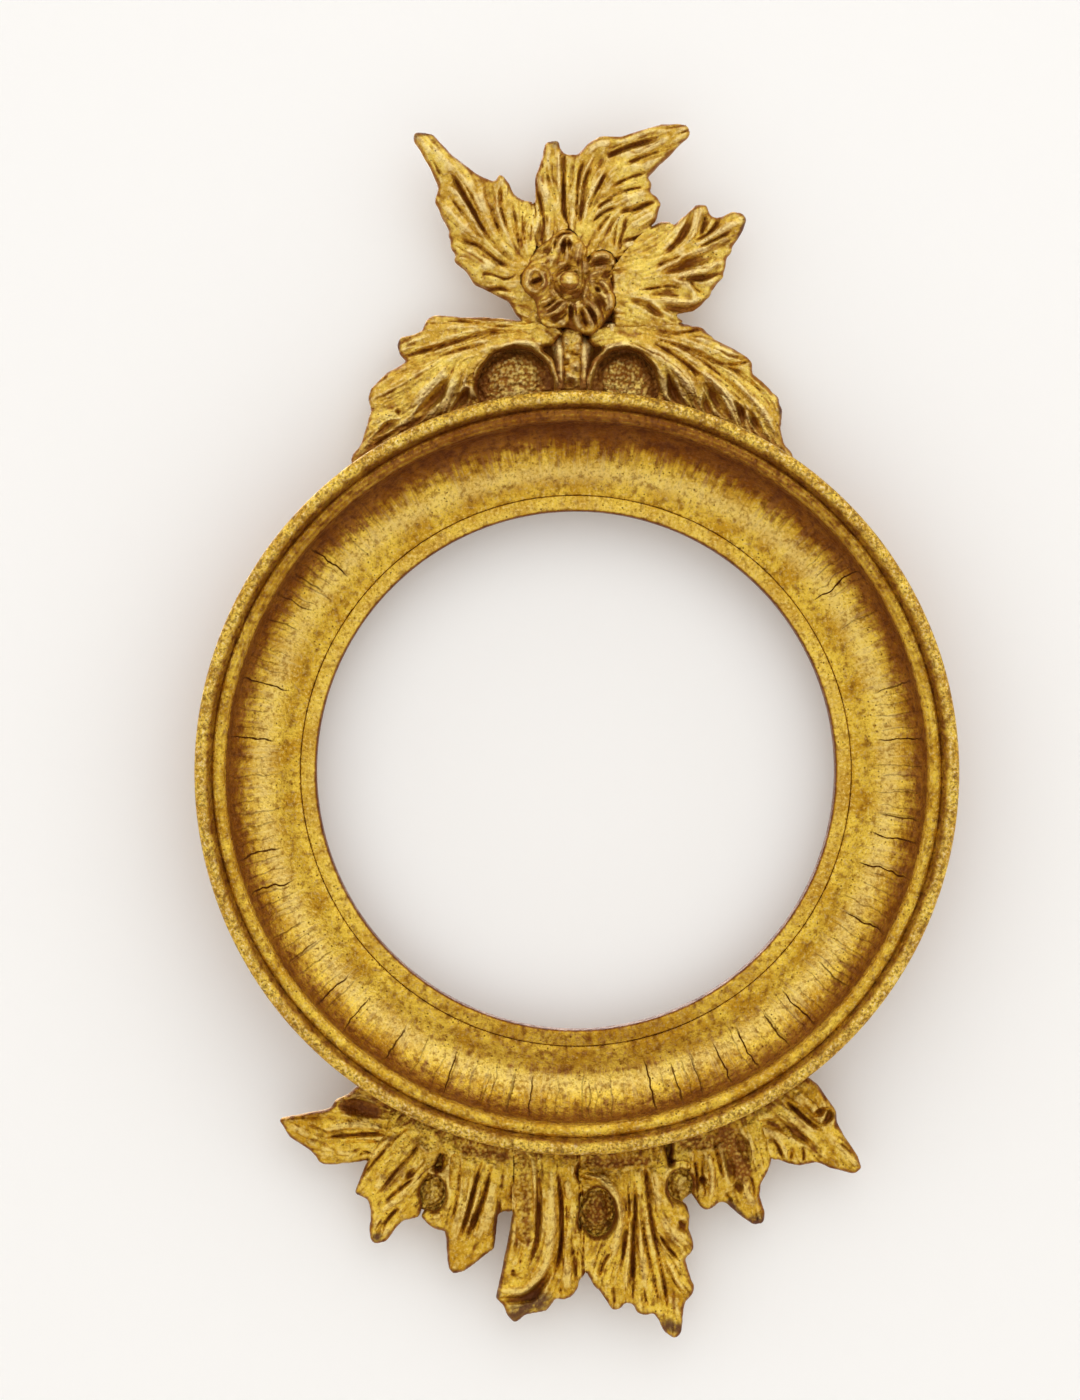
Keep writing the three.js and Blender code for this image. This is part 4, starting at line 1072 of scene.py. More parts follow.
@dataclass
class Board(Carving):
    """A flat carved board or post, which keeps its crisp edges and has no ribs."""

    bulk_blur: float = 0.8
    edge_round: float = 0.6
    rib_depth: float = 0.0


# The turned ring


@dataclass
class TurnedRing:
    """The ring moulding and the sight ring, turned on a lathe, then gessoed and gilded."""

    sight_radius: float = 63.5
    sight_width: float = 3.8
    sight_tongue: float = 3.2
    sight_front: float = 11.4
    sight_edge: float = 0.25  # mm, the rounding of the sight ring's outer corner
    ledge_depth: float = 6.5
    flange: float = 2.2
    seam: float = 0.3
    hairline: float = 0.08  # mm of the seam that the gesso leaves open
    mound_width: float = 4.6
    mound_swell: float = 0.35
    cove_width: float = 12.6
    cove_height: float = 9.4
    shoulder: float = 20.64  # mm from the wall to the cove's outer end
    small_bead: float = 1.6
    outer_bead: float = 1.8
    depth: float = 24.0
    fillet: float = 0.3
    quirk_width: float = 0.5
    bead_drop: float = 1.0
    flank_inset: float = 6.2
    flank_foot: float = 4.0
    flank_straight: float = 9.0
    lip_step: float = 0.25
    lip_edge: float = 0.18  # mm, the rounding of the moulding's inner corner
    lip_round: float = 0.9
    housed: float = 11.4  # mm of the back, from the flank inwards, that the battens' housings reach
    housing_steps: int = 12
    housing_depth: float = 4.15
    housing_room: float = 0.2  # mm between a batten and the sides of its housing
    segments: int = 1080
    waves: tuple[Point, ...] = ((3, 0.05), (7, 0.04), (17, 0.03), (41, 0.025), (89, 0.02))  # how many, and mm
    wave_share: float = 0.7  # how much of the waves the gesso leaves
    front_loss: float = 0.1  # mm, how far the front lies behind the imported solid's
    front_reach: Point = (9.0, 12.0)  # mm from the wall over which the loss and the waves grow in

    def cove(self) -> Point:
        """Gives the radii at which the cove begins, beside the mound, and ends, beside the beads."""
        foot = self.sight_radius + self.sight_width + self.seam + self.mound_width
        return foot, foot + self.cove_width

    def moulding_profile(self) -> list[Point]:
        """Draws the moulding's section, from the flank at the wall over the beads to the rebate.

        Returns:
            Radius and depth of each corner.
        """
        bore = self.sight_radius + self.sight_width + self.hairline
        rebate = self.sight_radius + self.sight_width + self.seam + self.sight_tongue
        foot, cove_end = self.cove()
        small_centre = cove_end + self.fillet + self.small_bead
        outer_centre = small_centre + self.small_bead + self.quirk_width + self.outer_bead
        flank = outer_centre + self.outer_bead - self.flank_inset
        widest = self.depth - self.outer_bead
        flare = widest - self.outer_bead
        flange_top = self.ledge_depth + self.flange + self.seam
        lip = self.sight_front - self.lip_step
        return [
            (flank, 0.0),
            (flank, self.flank_foot),
            *arc((flank, flare), (self.flank_inset, flare - self.flank_straight), -90, 0, 8),
            *arc((outer_centre, widest), (self.outer_bead, self.outer_bead), 0, 158, 16),
            *arc((small_centre, widest - self.bead_drop), (self.small_bead, self.small_bead), 22, 180, 12),
            (small_centre - self.small_bead, self.shoulder + self.fillet),
            *arc((foot, self.shoulder), (self.cove_width, self.cove_height), 0, -90, 22),
            *self.mound((foot, self.shoulder - self.cove_height), (bore + self.lip_edge, lip), 6),
            (bore, lip - self.lip_edge),
            (bore, flange_top),
            (rebate, flange_top),
            (rebate, 0.0),
            *((radius, 0.0) for radius in np.linspace(flank - self.housed, flank, self.housing_steps)[:-1]),
        ]

    def mound(self, start: Point, end: Point, steps: int) -> list[Point]:
        """Draws the low mound between the cove and the sight ring, leaving out its first point.

        Args:
            start: where it starts.
            end: where it ends.
            steps: how many steps it takes.

        Returns:
            Points of the mound.
        """
        points = []
        for share in np.linspace(0, 1, steps + 1)[1:]:
            rise = self.mound_swell * math.sin(math.pi * share)
            radius, depth = (first + (last - first) * share for first, last in zip(start, end))
            points.append((radius, depth + rise))
        return points

    def sight_profile(self) -> list[Point]:
        """Draws the sight ring's section.

        Returns:
            Radius and depth of each corner.
        """
        outer = self.sight_radius + self.sight_width
        tongue = outer + self.sight_tongue
        flange_top = self.ledge_depth + self.flange
        front, lip, edge = self.sight_front, self.lip_round, self.sight_edge
        return [
            (tongue, self.ledge_depth),
            (tongue, flange_top),
            (outer, flange_top),
            (outer, front - edge),
            *arc((outer - edge, front - edge), (edge, edge), 0, 90, 4),
            *arc((self.sight_radius + lip, front - lip), (lip, lip), 90, 180, 8),
            (self.sight_radius, self.ledge_depth),
        ]

    def turned(
        self, name: str, profile: list[Point], node: str, materials: list[Material], bare_faces: int
    ) -> Object:
        """Turns a section round the ring's axis, with the small unevenness of hand work.

        Args:
            name: the piece's name.
            profile: radius and depth of each corner, once round the section.
            node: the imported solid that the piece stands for.
            materials: the finishes of its front and back.
            bare_faces: how many of the section's last sides have the back's finish.

        Returns:
            The piece.
        """
        section = np.array(profile)
        count = len(profile)
        angles = np.linspace(0, 2 * math.pi, self.segments, endpoint=False)
        chance = np.random.default_rng(7)
        wobble = sum(amount * np.sin(angles * turns + chance.uniform(0, 6.3)) for turns, amount in self.waves)
        front = smooth_step(section[:, 1], *self.front_reach)[None, :]
        depth = section[:, 1][None, :] - self.front_loss * front + wobble[:, None] * front * self.wave_share
        x = section[:, 0][None, :] * np.sin(angles)[:, None]
        z = section[:, 0][None, :] * np.cos(angles)[:, None]
        room = self.housing_room
        for batten in ("crest_batten", "pendant_batten"):
            low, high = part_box(batten)
            housed = (x > low.x / MM - room) & (x < high.x / MM + room)
            housed &= z > low.z / MM - RING_CENTRE_HEIGHT - room
            housed &= z < high.z / MM - RING_CENTRE_HEIGHT + room
            depth = np.where(housed, np.maximum(depth, self.housing_depth), depth)
        number = np.arange(x.size).reshape(x.shape)
        after = np.roll(number, -1, axis=0)
        faces = np.stack([number, np.roll(number, -1, axis=1), np.roll(after, -1, axis=1), after], axis=-1)
        piece = new_piece(name, in_frame(x, depth, z), map(tuple, faces.reshape(-1, 4).tolist()))
        which = np.tile(np.arange(count), self.segments) >= count - bare_faces
        height = np.repeat(np.cos(angles), count)
        painted = self.toned(np.hypot(x, z).ravel(), depth.ravel(), height)
        return put_in_place(piece, node, materials, which, painted)

    def toned(self, radius: Grid, depth: Grid, high: Grid) -> dict[str, Grid]:
        """Says where umber wax, brush marks and sandy flecks lie.

        The umber lies in the cove, under the beads and in the groove between them. Painted shade darkens it
        towards the top of the ring, under the beads and up the flank, and the mound is darker towards the
        bottom.

        Args:
            radius: distance from the ring's centre.
            depth: distance from the wall.
            high: 1 at the top of the ring and -1 at its bottom.

        Returns:
            How much of each lies at each point, from 0 to 1, by name.
        """
        top, low = 0.5 + 0.5 * high, 0.5 - 0.5 * high
        cove_end = self.cove()[1]
        groove = cove_end + self.fillet + 2 * self.small_bead + self.quirk_width / 2
        in_cove = radius < cove_end + self.fillet
        # Painted shade: the cove's dark outer band is made wider and darker towards the top, where the cove
        # turns away from the light.
        start = cove_end - 6.6 - 4.4 * top**6
        cove = np.clip((radius - start) / (cove_end - 1.5 - start), 0, 1) * (0.5 + 0.34 * top**2)
        # Painted shade under the small bead, strongest at the top.
        shade_under_bead = near(radius, cove_end - 0.6, 0.9) * (0.56 + 0.4 * top**2)
        bead_lines = 0.1 * np.cos((radius - cove_end) * 2 * math.pi / 1.1)
        # Painted shade: the small bead is darker towards the top.
        small_bead = (radius > cove_end) * (0.14 + 0.48 * top**4 + bead_lines)
        outer_bead = 0.1 + 0.34 * (1 - smooth_step(radius, groove + 0.4, groove + 1.7))
        side = depth < self.depth - 2 * self.outer_bead
        wax_and_shade = [
            near(radius, 70.4, 2.2) * 0.2,
            cove * in_cove,
            shade_under_bead * in_cove,
            # darker towards the bottom of the mound
            (radius < cove_end - 10) * 0.34 * low**5,
            small_bead * (radius < groove),
            # the groove's umber, with painted shade towards the top
            near(radius, groove, 0.5) * (0.62 + 0.2 * top),
            outer_bead * (radius > groove),
            near(radius, self.sight_radius, 0.45) * 0.85,
            # painted shade on the flank, darker up under the bead
            ~in_cove * side * (0.3 + 0.34 * smooth_step(depth, 6, 17)),
        ]
        # Painted highlights: a band in the cove that lies further in towards the top, one on the sight ring's
        # lip that fades at the bottom, and one on the outer bead.
        cove_highlight = 0.75 * near(radius, cove_end - 8.2 - 3.6 * top**6, 2.4)
        sight_edge = 0.6 * near(radius, self.sight_radius + 1.9, 1.1) * (1 - low**4)
        bead_highlight = 0.3 * near(radius, groove + 1.9, 0.8)
        brushed = smooth_step(radius, 71, 75) * (1 - 0.65 * smooth_step(radius, 79, 82.5)) * in_cove
        return {
            "umber_and_shade": np.clip(np.maximum.reduce(wax_and_shade), 0, 1),
            "brushed": brushed + 0.3 * (radius < 67.2),
            "speckled": smooth_step(radius, groove + 0.5, groove + 1.7) + 0.3 * (radius > cove_end),
            "rubbed_and_highlit": np.clip(cove_highlight + sight_edge + bead_highlight, 0, 1),
        }

    def build(self, gilding: Material, bare: Material) -> list[Object]:
        """Turns both rings.

        Args:
            gilding: their finish in front.
            bare: their finish behind.

        Returns:
            The two pieces.
        """
        finishes = [gilding, bare]
        behind = 2 + self.housing_steps
        return [
            self.turned("gilded_moulding", self.moulding_profile(), "ring_moulding", finishes, behind),
            self.turned("gilded_sight_ring", self.sight_profile(), "sight_ring", finishes, 1),
        ]


# The crest


@dataclass
class Crest:
    """The carved crest: a spray of three leaves, a flower, two shoulder leaves and a beaded post."""

    left_leaf: tuple[Stroke, ...] = (
        vee(
            0.9, 1.9, (-31, 146), (-29.8, 144.8), (-27.5, 140.8), (-25, 136.2), (-22.5, 131.8),
            (-20, 128.5), (-15.5, 124)
        ),
        vee(0.6, 1.1, (-28, 144.2), (-25.6, 140.5), (-23.7, 136), (-21.5, 132)),
        ridge(0.7, 0.7, (-31.5, 143), (-28.8, 140.5), (-26, 136.5), (-22.5, 131), (-18, 126)),
        vee(0.6, 1.0, (-30.8, 139.8), (-27.5, 135.8), (-24.3, 131.6), (-21.5, 129.2)),
        gouge(1.3, 1.3, (-20.8, 144.5), (-21.1, 140.5), (-19.8, 135.5)),
        vee(0.6, 1.3, (-20.8, 139), (-19.8, 135), (-18.6, 131)),
        vee(0.6, 1.3, (-18.2, 143), (-18.8, 140), (-18, 136), (-16.3, 131.3)),
        ridge(0.5, 0.6, (-19.3, 141), (-18.9, 136.5), (-17.4, 131.5)),
        vee(
            0.8, 2.0, (-30.4, 130.9), (-27.2, 129.4), (-24, 128.4), (-21.3, 126.3), (-18.2, 124),
            (-16, 122.8)
        ),
        vee(
            0.5, 1.1, (-22.9, 120), (-22.6, 121.3), (-21.3, 121.5), (-19, 120.8), (-17, 120.2),
            (-14, 121.4)
        ),
        vee(0.8, 1.9, (-25.8, 119.4), (-23.3, 118), (-21, 117.7), (-18.5, 118), (-15.5, 117)),
        vee(0.4, 0.6, (-27.8, 124.8), (-25.6, 124), (-24, 122.6)),
        vee(0.5, 0.8, (-36, 150.5), (-34.5, 148), (-33, 145)),
        ridge(1.6, 0.9, (-37.5, 153.5), (-33, 149.5), (-28, 144.5), (-25, 140.5), (-22, 136)),
        ridge(2.2, 0.6, (-32.5, 139), (-29, 134.5), (-25.5, 131.5)),
        ridge(2.2, 0.6, (-28.5, 127), (-24.5, 124.8), (-20, 122.5)),
        vee(0.6, 1.4, (-12.4, 135.2), (-12.8, 132), (-12.4, 128.5)),
        vee(0.5, 1.2, (-15, 137), (-14.5, 132), (-13.8, 128)),
        gouge(1.2, 1.5, (-8, 135), (-8.8, 130), (-8.2, 126)),
        wear(1.4, 1, (-39.5, 155)),
        wear(0.8, 1, (-39, 155.8), (-36, 155.3)),
    )
    centre_leaf: tuple[Stroke, ...] = (
        vee(0.8, 2.0, (-9.9, 146), (-9.4, 142), (-8.5, 138.5), (-7.9, 134)),
        vee(0.5, 1.0, (-7.2, 148), (-6.7, 144.5), (-5.4, 141), (-4.6, 138)),
        vee(0.8, 2.1, (-2.8, 151.2), (-3, 146), (-3, 140.5), (-2.8, 136.5), (-2, 133.5)),
        ridge(0.6, 0.8, (-4.3, 151.5), (-4.2, 146), (-3.9, 140.5)),
        ridge(0.6, 0.8, (-9, 146), (-8, 142.5), (-7.1, 139)),
        ridge(0.5, 0.5, (-6.1, 145), (-5.8, 141.5)),
        gouge(0.9, 0.9, (-1.3, 149), (-1.1, 145), (-1.2, 141)),
        vee(0.6, 1.7, (2.4, 149.8), (1.1, 146.8), (0.6, 143), (0.4, 139), (0.1, 135)),
        ridge(0.6, 1.0, (4.2, 150), (2.7, 147.5), (1.5, 144), (0.9, 140), (0.6, 135)),
        vee(0.7, 1.8, (3.8, 147.8), (2.5, 145.3), (1.6, 141.5), (1.2, 137.5), (1, 133)),
        gouge(1.5, 1.1, (4, 146.4), (5.6, 148.8), (7, 150)),
        ridge(0.6, 0.8, (6.2, 145.8), (4.6, 142.5), (3, 139), (1.9, 134)),
        vee(0.6, 1.5, (7.2, 146.2), (5.6, 143), (4, 139.8), (2.8, 136)),
        ridge(1.8, 0.8, (2, 151), (5.5, 153.2), (8.5, 152.5)),
        vee(0.9, 2.1, (7.6, 149.8), (9.5, 151), (12.5, 152.3), (16, 153.3), (20.5, 154.4)),
        ridge(0.8, 0.8, (9, 150.2), (14, 151), (19, 152.6), (23, 154.6)),
        ridge(1.2, 0.5, (13, 153.9), (18, 155.6), (24, 156.2)),
        vee(0.6, 1.5, (12.3, 148.3), (15, 149.4), (19, 150.8), (22.5, 152), (25.5, 153)),
        vee(0.6, 1.4, (8.2, 142.2), (11, 144), (14, 145.2), (17.4, 146)),
        vee(0.5, 1.2, (7, 139.4), (10, 141), (13.4, 142.1), (16.5, 142.5)),
        gouge(1.0, 0.7, (5.6, 141), (6.5, 140.2), (7.8, 140.7)),
        vee(0.6, 1.5, (4, 134), (6, 136), (8.3, 137.3), (10, 137.6)),
        ridge(0.6, 0.8, (4.6, 135.6), (7, 137.8), (9.5, 138.8)),
        vee(0.5, 1.2, (5, 137), (7, 138.8), (9.3, 139.8)),
        vee(0.7, 1.7, (10.8, 136.1), (12, 136.9), (14.5, 137.2), (17, 138.4), (20, 139.4)),
        ridge(2.0, 0.9, (11, 138.5), (14.5, 140), (17.5, 141)),
        ridge(2.6, 0.8, (13.5, 133), (17, 135), (19, 136.5)),
        vee(0.7, 1.7, (20.8, 133.9), (18.7, 131.9), (16, 130.5), (13, 129.9), (10.5, 129)),
        vee(0.6, 1.4, (12.4, 135.5), (11.7, 132.5), (10.9, 130), (10.7, 127)),
        ridge(0.8, 0.9, (22.6, 133.5), (21.8, 129.8), (19.5, 126.9)),
        ridge(0.7, 0.7, (15, 128.4), (18, 130), (20.7, 132)),
        vee(0.5, 1.2, (11.5, 126.3), (14, 127.5), (17, 128.3), (19.5, 129.8)),
        ridge(1.3, 0.6, (11.8, 128.5), (14.5, 129.2)),
        vee(0.5, 1.1, (5, 131.5), (6.6, 134), (8.6, 136)),
        vee(0.5, 1.0, (7, 130.5), (8.4, 133.2), (9.6, 135.5)),
        vee(0.5, 1.0, (9.2, 128), (9.6, 131), (10, 134)),
        gouge(1.3, 2.2, (9, 124.8), (14, 125.2), (18, 125.2), (20.5, 126.2), (23.2, 129)),
        gouge(1.2, 1.5, (-8.2, 134), (-8.6, 130), (-8.4, 126)),
        wear(1.3, 1, (-5.3, 153.5)),
    )
    right_leaf: tuple[Stroke, ...] = (
        gouge(0.9, 2.0, (28.4, 137), (27.6, 134), (26.4, 131.5), (24, 128.5), (21.5, 126.3)),
        ridge(0.6, 1.0, (30.3, 137.8), (29.8, 134.5), (28.8, 131.5), (27, 128.6)),
        vee(0.6, 1.7, (31.8, 136.5), (31.2, 133.5), (30.3, 130.4)),
        gouge(0.8, 1.0, (30.8, 131.2), (32.6, 132.2)),
        vee(0.7, 1.8, (35.2, 135.3), (33.8, 132.8), (31.6, 130.7), (29, 129.6)),
        ridge(0.9, 0.9, (40, 134), (37, 132.6), (34, 131), (31, 129.2), (28, 128)),
        vee(0.45, 1.1, (37.8, 131.8), (35, 130.3), (32.5, 129), (30, 128)),
        ridge(0.8, 0.8, (38.2, 130.4), (34.5, 128.9), (31, 127.2), (27.5, 126.2)),
        gouge(1.5, 2.3, (34, 126.4), (31, 125.2), (28, 124.3), (24.5, 122.8), (21, 121.8)),
        ridge(0.7, 1.0, (37, 124.9), (34.5, 123.8), (31.5, 122.3), (28, 121.4), (24.5, 120.6)),
        ridge(0.5, 0.8, (26, 124.9), (22.5, 123.5), (18.8, 121.7)),
        vee(0.4, 1.0, (26, 125.9), (22.5, 124.6), (19.5, 123)),
        gouge(0.8, 2.1, (26.7, 120.2), (29, 120.3), (32, 120.6), (35, 121.8)),
        ridge(
            0.9, 1.0, (22.5, 120.2), (26, 119.2), (28.6, 117.2), (28.8, 115), (26.5, 114.5), (22.5, 115),
            (18.5, 115.4)
        ),
        vee(0.5, 1.2, (27.8, 119.8), (29, 118), (31.2, 116.6)),
        vee(0.5, 1.3, (15.4, 117.3), (19.5, 118.1), (23, 118.4), (25.8, 117.6)),
        gouge(0.8, 1.4, (20.5, 117.2), (24.5, 117)),
        vee(0.5, 1.2, (17.5, 116.3), (21, 116.4), (25.3, 116.1)),
        gouge(0.9, 1.9, (13, 115.2), (17, 114), (19.5, 112.2), (21.5, 110.8)),
        gouge(0.9, 2.1, (21.5, 113.9), (24, 113), (27.5, 113), (31, 114.8)),
        punch(2.2, 0.5, (12, 118.6), (14, 119.6)),
        ridge(1.4, 0.6, (31, 119.2), (34, 119.3)),
        wear(0.8, 1, (41.6, 134.5), (38.5, 126.5)),
    )
    left_shoulder: tuple[Stroke, ...] = (
        vee(0.9, 1.7, (-43, 101.2), (-36, 103), (-30, 104.8), (-22, 106.9), (-13, 107.4)),
        vee(0.5, 1.0, (-34, 110.2), (-27, 109.8), (-20, 108.8), (-15, 108.6)),
        vee(0.5, 0.8, (-42, 98.6), (-34, 101.2), (-27, 103.3), (-18, 105.4)),
        vee(0.4, 0.5, (-46, 95.5), (-39, 99), (-31, 101.8), (-24, 103.8)),
        ridge(1.6, 0.9, (-41, 89), (-36.5, 93), (-33, 96.6), (-31.2, 99.3)),
        ridge(2.4, 0.6, (-49, 91), (-42, 94.5), (-35, 99), (-28, 102.4)),
        gouge(1.4, 2.3, (-31.6, 95.6), (-33, 92.8), (-36, 89.6), (-39.5, 86.6)),
        ridge(1.0, 0.8, (-29, 98.5), (-30.3, 94), (-31.4, 90), (-32.4, 87.2)),
        gouge(1.2, 2.5, (-26.2, 93.6), (-27.6, 91.2), (-30.4, 88)),
        ridge(0.6, 0.8, (-26.6, 94.6), (-25.6, 92.4), (-24.4, 91)),
        gouge(1.0, 1.4, (-48.5, 82), (-46, 84.3), (-42.8, 85.6)),
        vee(0.5, 1.1, (-49.5, 79.2), (-46.5, 81.6), (-43, 83.4)),
        gouge(0.7, 1.2, (-44.3, 87.6), (-42.6, 87.9)),
        vee(0.5, 1.0, (-51, 88.7), (-49, 88.8)),
        ridge(
            1.0, 0.7, (-22.5, 93), (-22.4, 98), (-18.5, 102.6), (-12, 104.6), (-6.4, 102.6), (-4.6, 98.5),
            (-5, 93)
        ),
        wear(0.7, 1, (-43.5, 105.8), (-43.8, 103)),
    )
    right_shoulder: tuple[Stroke, ...] = (
        gouge(1.1, 2.5, (22.6, 97), (23.3, 94), (24.5, 91.5), (26.8, 89)),
        ridge(1.4, 0.9, (14, 104.2), (20, 101.6), (24.5, 98), (28, 93.5), (28.8, 90.5)),
        gouge(1.4, 2.5, (31.2, 95), (33, 92.5), (35, 89.5), (37.2, 86.2)),
        gouge(1.2, 2.0, (31.6, 93), (32, 89.5), (32.8, 87)),
        vee(0.7, 1.4, (19, 104.4), (24, 101.6), (28.5, 98), (31.2, 95)),
        ridge(1.2, 0.7, (30, 98), (34.5, 94.5), (38, 90.5), (40, 87)),
        vee(0.6, 1.1, (22, 105), (28, 102.2), (33, 98.6), (38, 94.5), (42.5, 90)),
        vee(0.7, 1.3, (20, 105.4), (26, 103.7), (32, 101), (38, 98.4), (43, 95), (47, 91)),
        gouge(0.7, 1.2, (26, 103.6), (30, 102.2), (34, 100.6)),
        vee(0.6, 1.3, (36.4, 99.5), (39, 99.4), (43.4, 100.4)),
        vee(0.6, 1.1, (18, 107.6), (25, 107), (31, 108.2)),
        gouge(0.9, 2.0, (38.6, 90.4), (40.3, 87.6), (41, 84.4)),
        gouge(0.8, 1.8, (42, 88.6), (43.6, 85.4), (45.6, 82)),
        ridge(0.9, 0.8, (38, 95.8), (43, 91.4), (46.5, 86.8), (48.8, 82.6)),
        ridge(1.8, 0.6, (28, 105.3), (34, 103.6), (40, 101.4)),
        vee(0.5, 0.8, (44, 94.8), (47, 91.4), (49, 87.8)),
        punch(2.6, 0.3, (13, 109.5), (16, 111.5)),
        ridge(1.0, 0.7, (3, 94), (3.4, 99.5), (8, 103.4), (15, 103.2), (19.4, 98.6), (20.8, 93)),
        wear(0.8, 1, (50.3, 91), (50.2, 87.5)),
    )
    blossom: tuple[Stroke, ...] = (
        stain_and_shade(14, 0.34, (-1.9, 118)),
        ridge(
            0.9, 1.5, (-8.8, 122.2), (-11, 122.1), (-12, 120), (-11.8, 118), (-10.4, 116.9), (-8.6, 117.2)
        ),
        ridge(0.7, 1.1, (-8.6, 117.2), (-7.5, 118.8), (-7.7, 120.8), (-8.8, 122.2)),
        gouge(1.4, 1.8, (-9.9, 120.2), (-9.4, 119)),
        ridge(0.6, 0.9, (-6.2, 120.3)),
        ridge(0.5, 0.8, (-6.7, 118.9)),
        ridge(0.9, 1.2, (-8.0, 123.6)),
        ridge(0.9, 1.3, (-6.4, 124.9)),
        ridge(0.8, 1.2, (-4.0, 123.3)),
        ridge(0.7, 0.8, (-11.6, 124.4), (-10.6, 125.2), (-9.4, 125.4)),
        gouge(0.9, 1.3, (-9.2, 126.4), (-7.2, 127), (-6.2, 128.6)),
        ridge(0.8, 1.2, (-5.8, 128.4), (-5, 130.8), (-3, 132), (-0.9, 131.9)),
        vee(0.5, 1.2, (-5.3, 127.2), (-4.8, 129.8), (-3, 131.1), (-0.7, 131.2)),
        ridge(0.6, 1.1, (-4.2, 125.8), (-4.1, 128.2), (-3.3, 130.2), (-1.7, 130.6)),
        gouge(0.6, 2.0, (-3.2, 126.2), (-3.2, 128.2), (-2.5, 129.8)),
        gouge(0.6, 1.9, (-1.7, 126.8), (-1.6, 128.6), (-1.9, 129.8)),
        ridge(0.7, 1.0, (-2.3, 125.3)),
        ridge(1.3, 1.7, (2.2, 130.4), (1.4, 128.4), (0.6, 126), (0.2, 124.2)),
        ridge(0.8, 1.3, (1.8, 124.6), (2, 122.8), (2.3, 121)),
        vee(0.6, 1.9, (5, 128.3), (3.5, 128.2), (3, 126), (3.1, 124)),
        ridge(0.8, 1.5, (3.6, 124.8), (5, 125.7), (6.8, 125.9), (8.2, 125.2)),
        gouge(0.9, 1.7, (3.4, 123.2), (5.6, 124.1), (8.6, 124)),
        ridge(0.5, 0.9, (4.2, 122.2), (6, 123), (7.8, 123.1)),
        ridge(0.7, 1.4, (2.8, 120.2), (4.6, 121.1), (6.8, 121.8)),
        gouge(0.8, 1.7, (5.4, 120.7), (7.4, 121.1), (9, 122)),
        ridge(0.7, 1.3, (9.2, 124.8), (9.4, 123.3)),
        ridge(0.7, 1.2, (8.6, 120.2), (9.9, 121.3)),
        ridge(0.7, 1.2, (3.9, 119.2)),
        ridge(0.8, 1.4, (5.4, 119.4), (6.8, 118.6), (7.9, 117)),
        gouge(0.6, 1.4, (4.6, 118), (6, 117)),
        ridge(0.8, 1.5, (2.7, 118.9), (1.9, 117), (1.8, 115)),
        ridge(0.7, 1.4, (2, 114.9), (3.8, 113.7), (5, 111.8), (5.5, 110.2)),
        gouge(0.9, 2.0, (4.4, 116.9), (5.9, 114.4), (6.9, 111)),
        ridge(0.5, 0.8, (3.3, 116.8), (4.3, 114.8)),
        ridge(0.8, 1.5, (7.4, 116.9), (8.5, 114.6), (8.6, 112)),
        gouge(0.8, 1.6, (7.4, 110.8), (8.4, 109)),
        ridge(0.8, 1.7, (0.6, 112), (0.1, 109.7), (1, 107.6), (2.6, 106.5), (4.6, 106.3), (5.8, 107)),
        ridge(0.6, 1.1, (1.7, 113), (3, 111), (3.6, 108.8)),
        vee(0.45, 1.4, (1.1, 112.5), (1.9, 110.4), (2.5, 108.4)),
        gouge(0.6, 1.9, (2.5, 113.7), (4.1, 111.2), (4.8, 108.2)),
        ridge(0.6, 1.3, (6.4, 110.4), (6.1, 107.6)),
        ridge(0.9, 1.5, (-6.2, 116.1), (-4.8, 117.3)),
        ridge(0.6, 1.3, (-2, 114.9), (-4, 113.2), (-6.6, 111.4), (-8.6, 110.9)),
        ridge(0.55, 1.1, (-4, 115.2), (-5.8, 113.5), (-8, 112)),
        ridge(0.7, 1.2, (-5.6, 115.6), (-7.2, 114.6), (-8.8, 113.6)),
        vee(0.4, 1.2, (-3, 114.8), (-5, 112.9), (-7.8, 111.4)),
        vee(0.4, 1.1, (-4.8, 115.2), (-6.6, 113.8), (-8.6, 112.8)),
        gouge(0.9, 1.9, (-1.8, 112.2), (-5, 110.4), (-8.2, 110)),
        ridge(0.8, 1.7, (-9.9, 110.6), (-8.9, 108.9), (-6.6, 108), (-4.4, 108), (-2.4, 109.2)),
        gouge(1.0, 1.5, (-11.8, 115.5), (-9.4, 115.2)),
        ridge(0.6, 0.8, (-12, 113.8), (-11.4, 111.6)),
        stain_and_shade(1.5, 0.6, (-10.6, 113.6), (-10, 111.6)),
        gouge(1.2, 1.9, (-5, 119.6), (-4.2, 117.2), (-1.6, 115.9), (0.8, 116.4), (1.8, 118.4), (1.5, 121)),
        gouge(0.6, 1.1, (-4.4, 121.6), (-2, 122.9), (0.6, 122.4)),
        ridge(0.6, 1.1, (-0.5, 113.3)),
        gouge(0.6, 1.9, (-1.5, 113.8), (-1.2, 112), (-1.2, 109.4)),
        stain_and_shade(1.0, 0.75, (0.4, 107), (2.4, 105.4), (4.6, 105), (6.8, 106)),
        stain_and_shade(1.2, 0.7, (-8.8, 107.2), (-6.4, 106.3), (-3.4, 106.6)),
        # painted shadow below the centre bead
        stain_and_shade(1.6, 0.6, (-3.4, 117.6), (-1.4, 116.6), (0.6, 117)),
    )
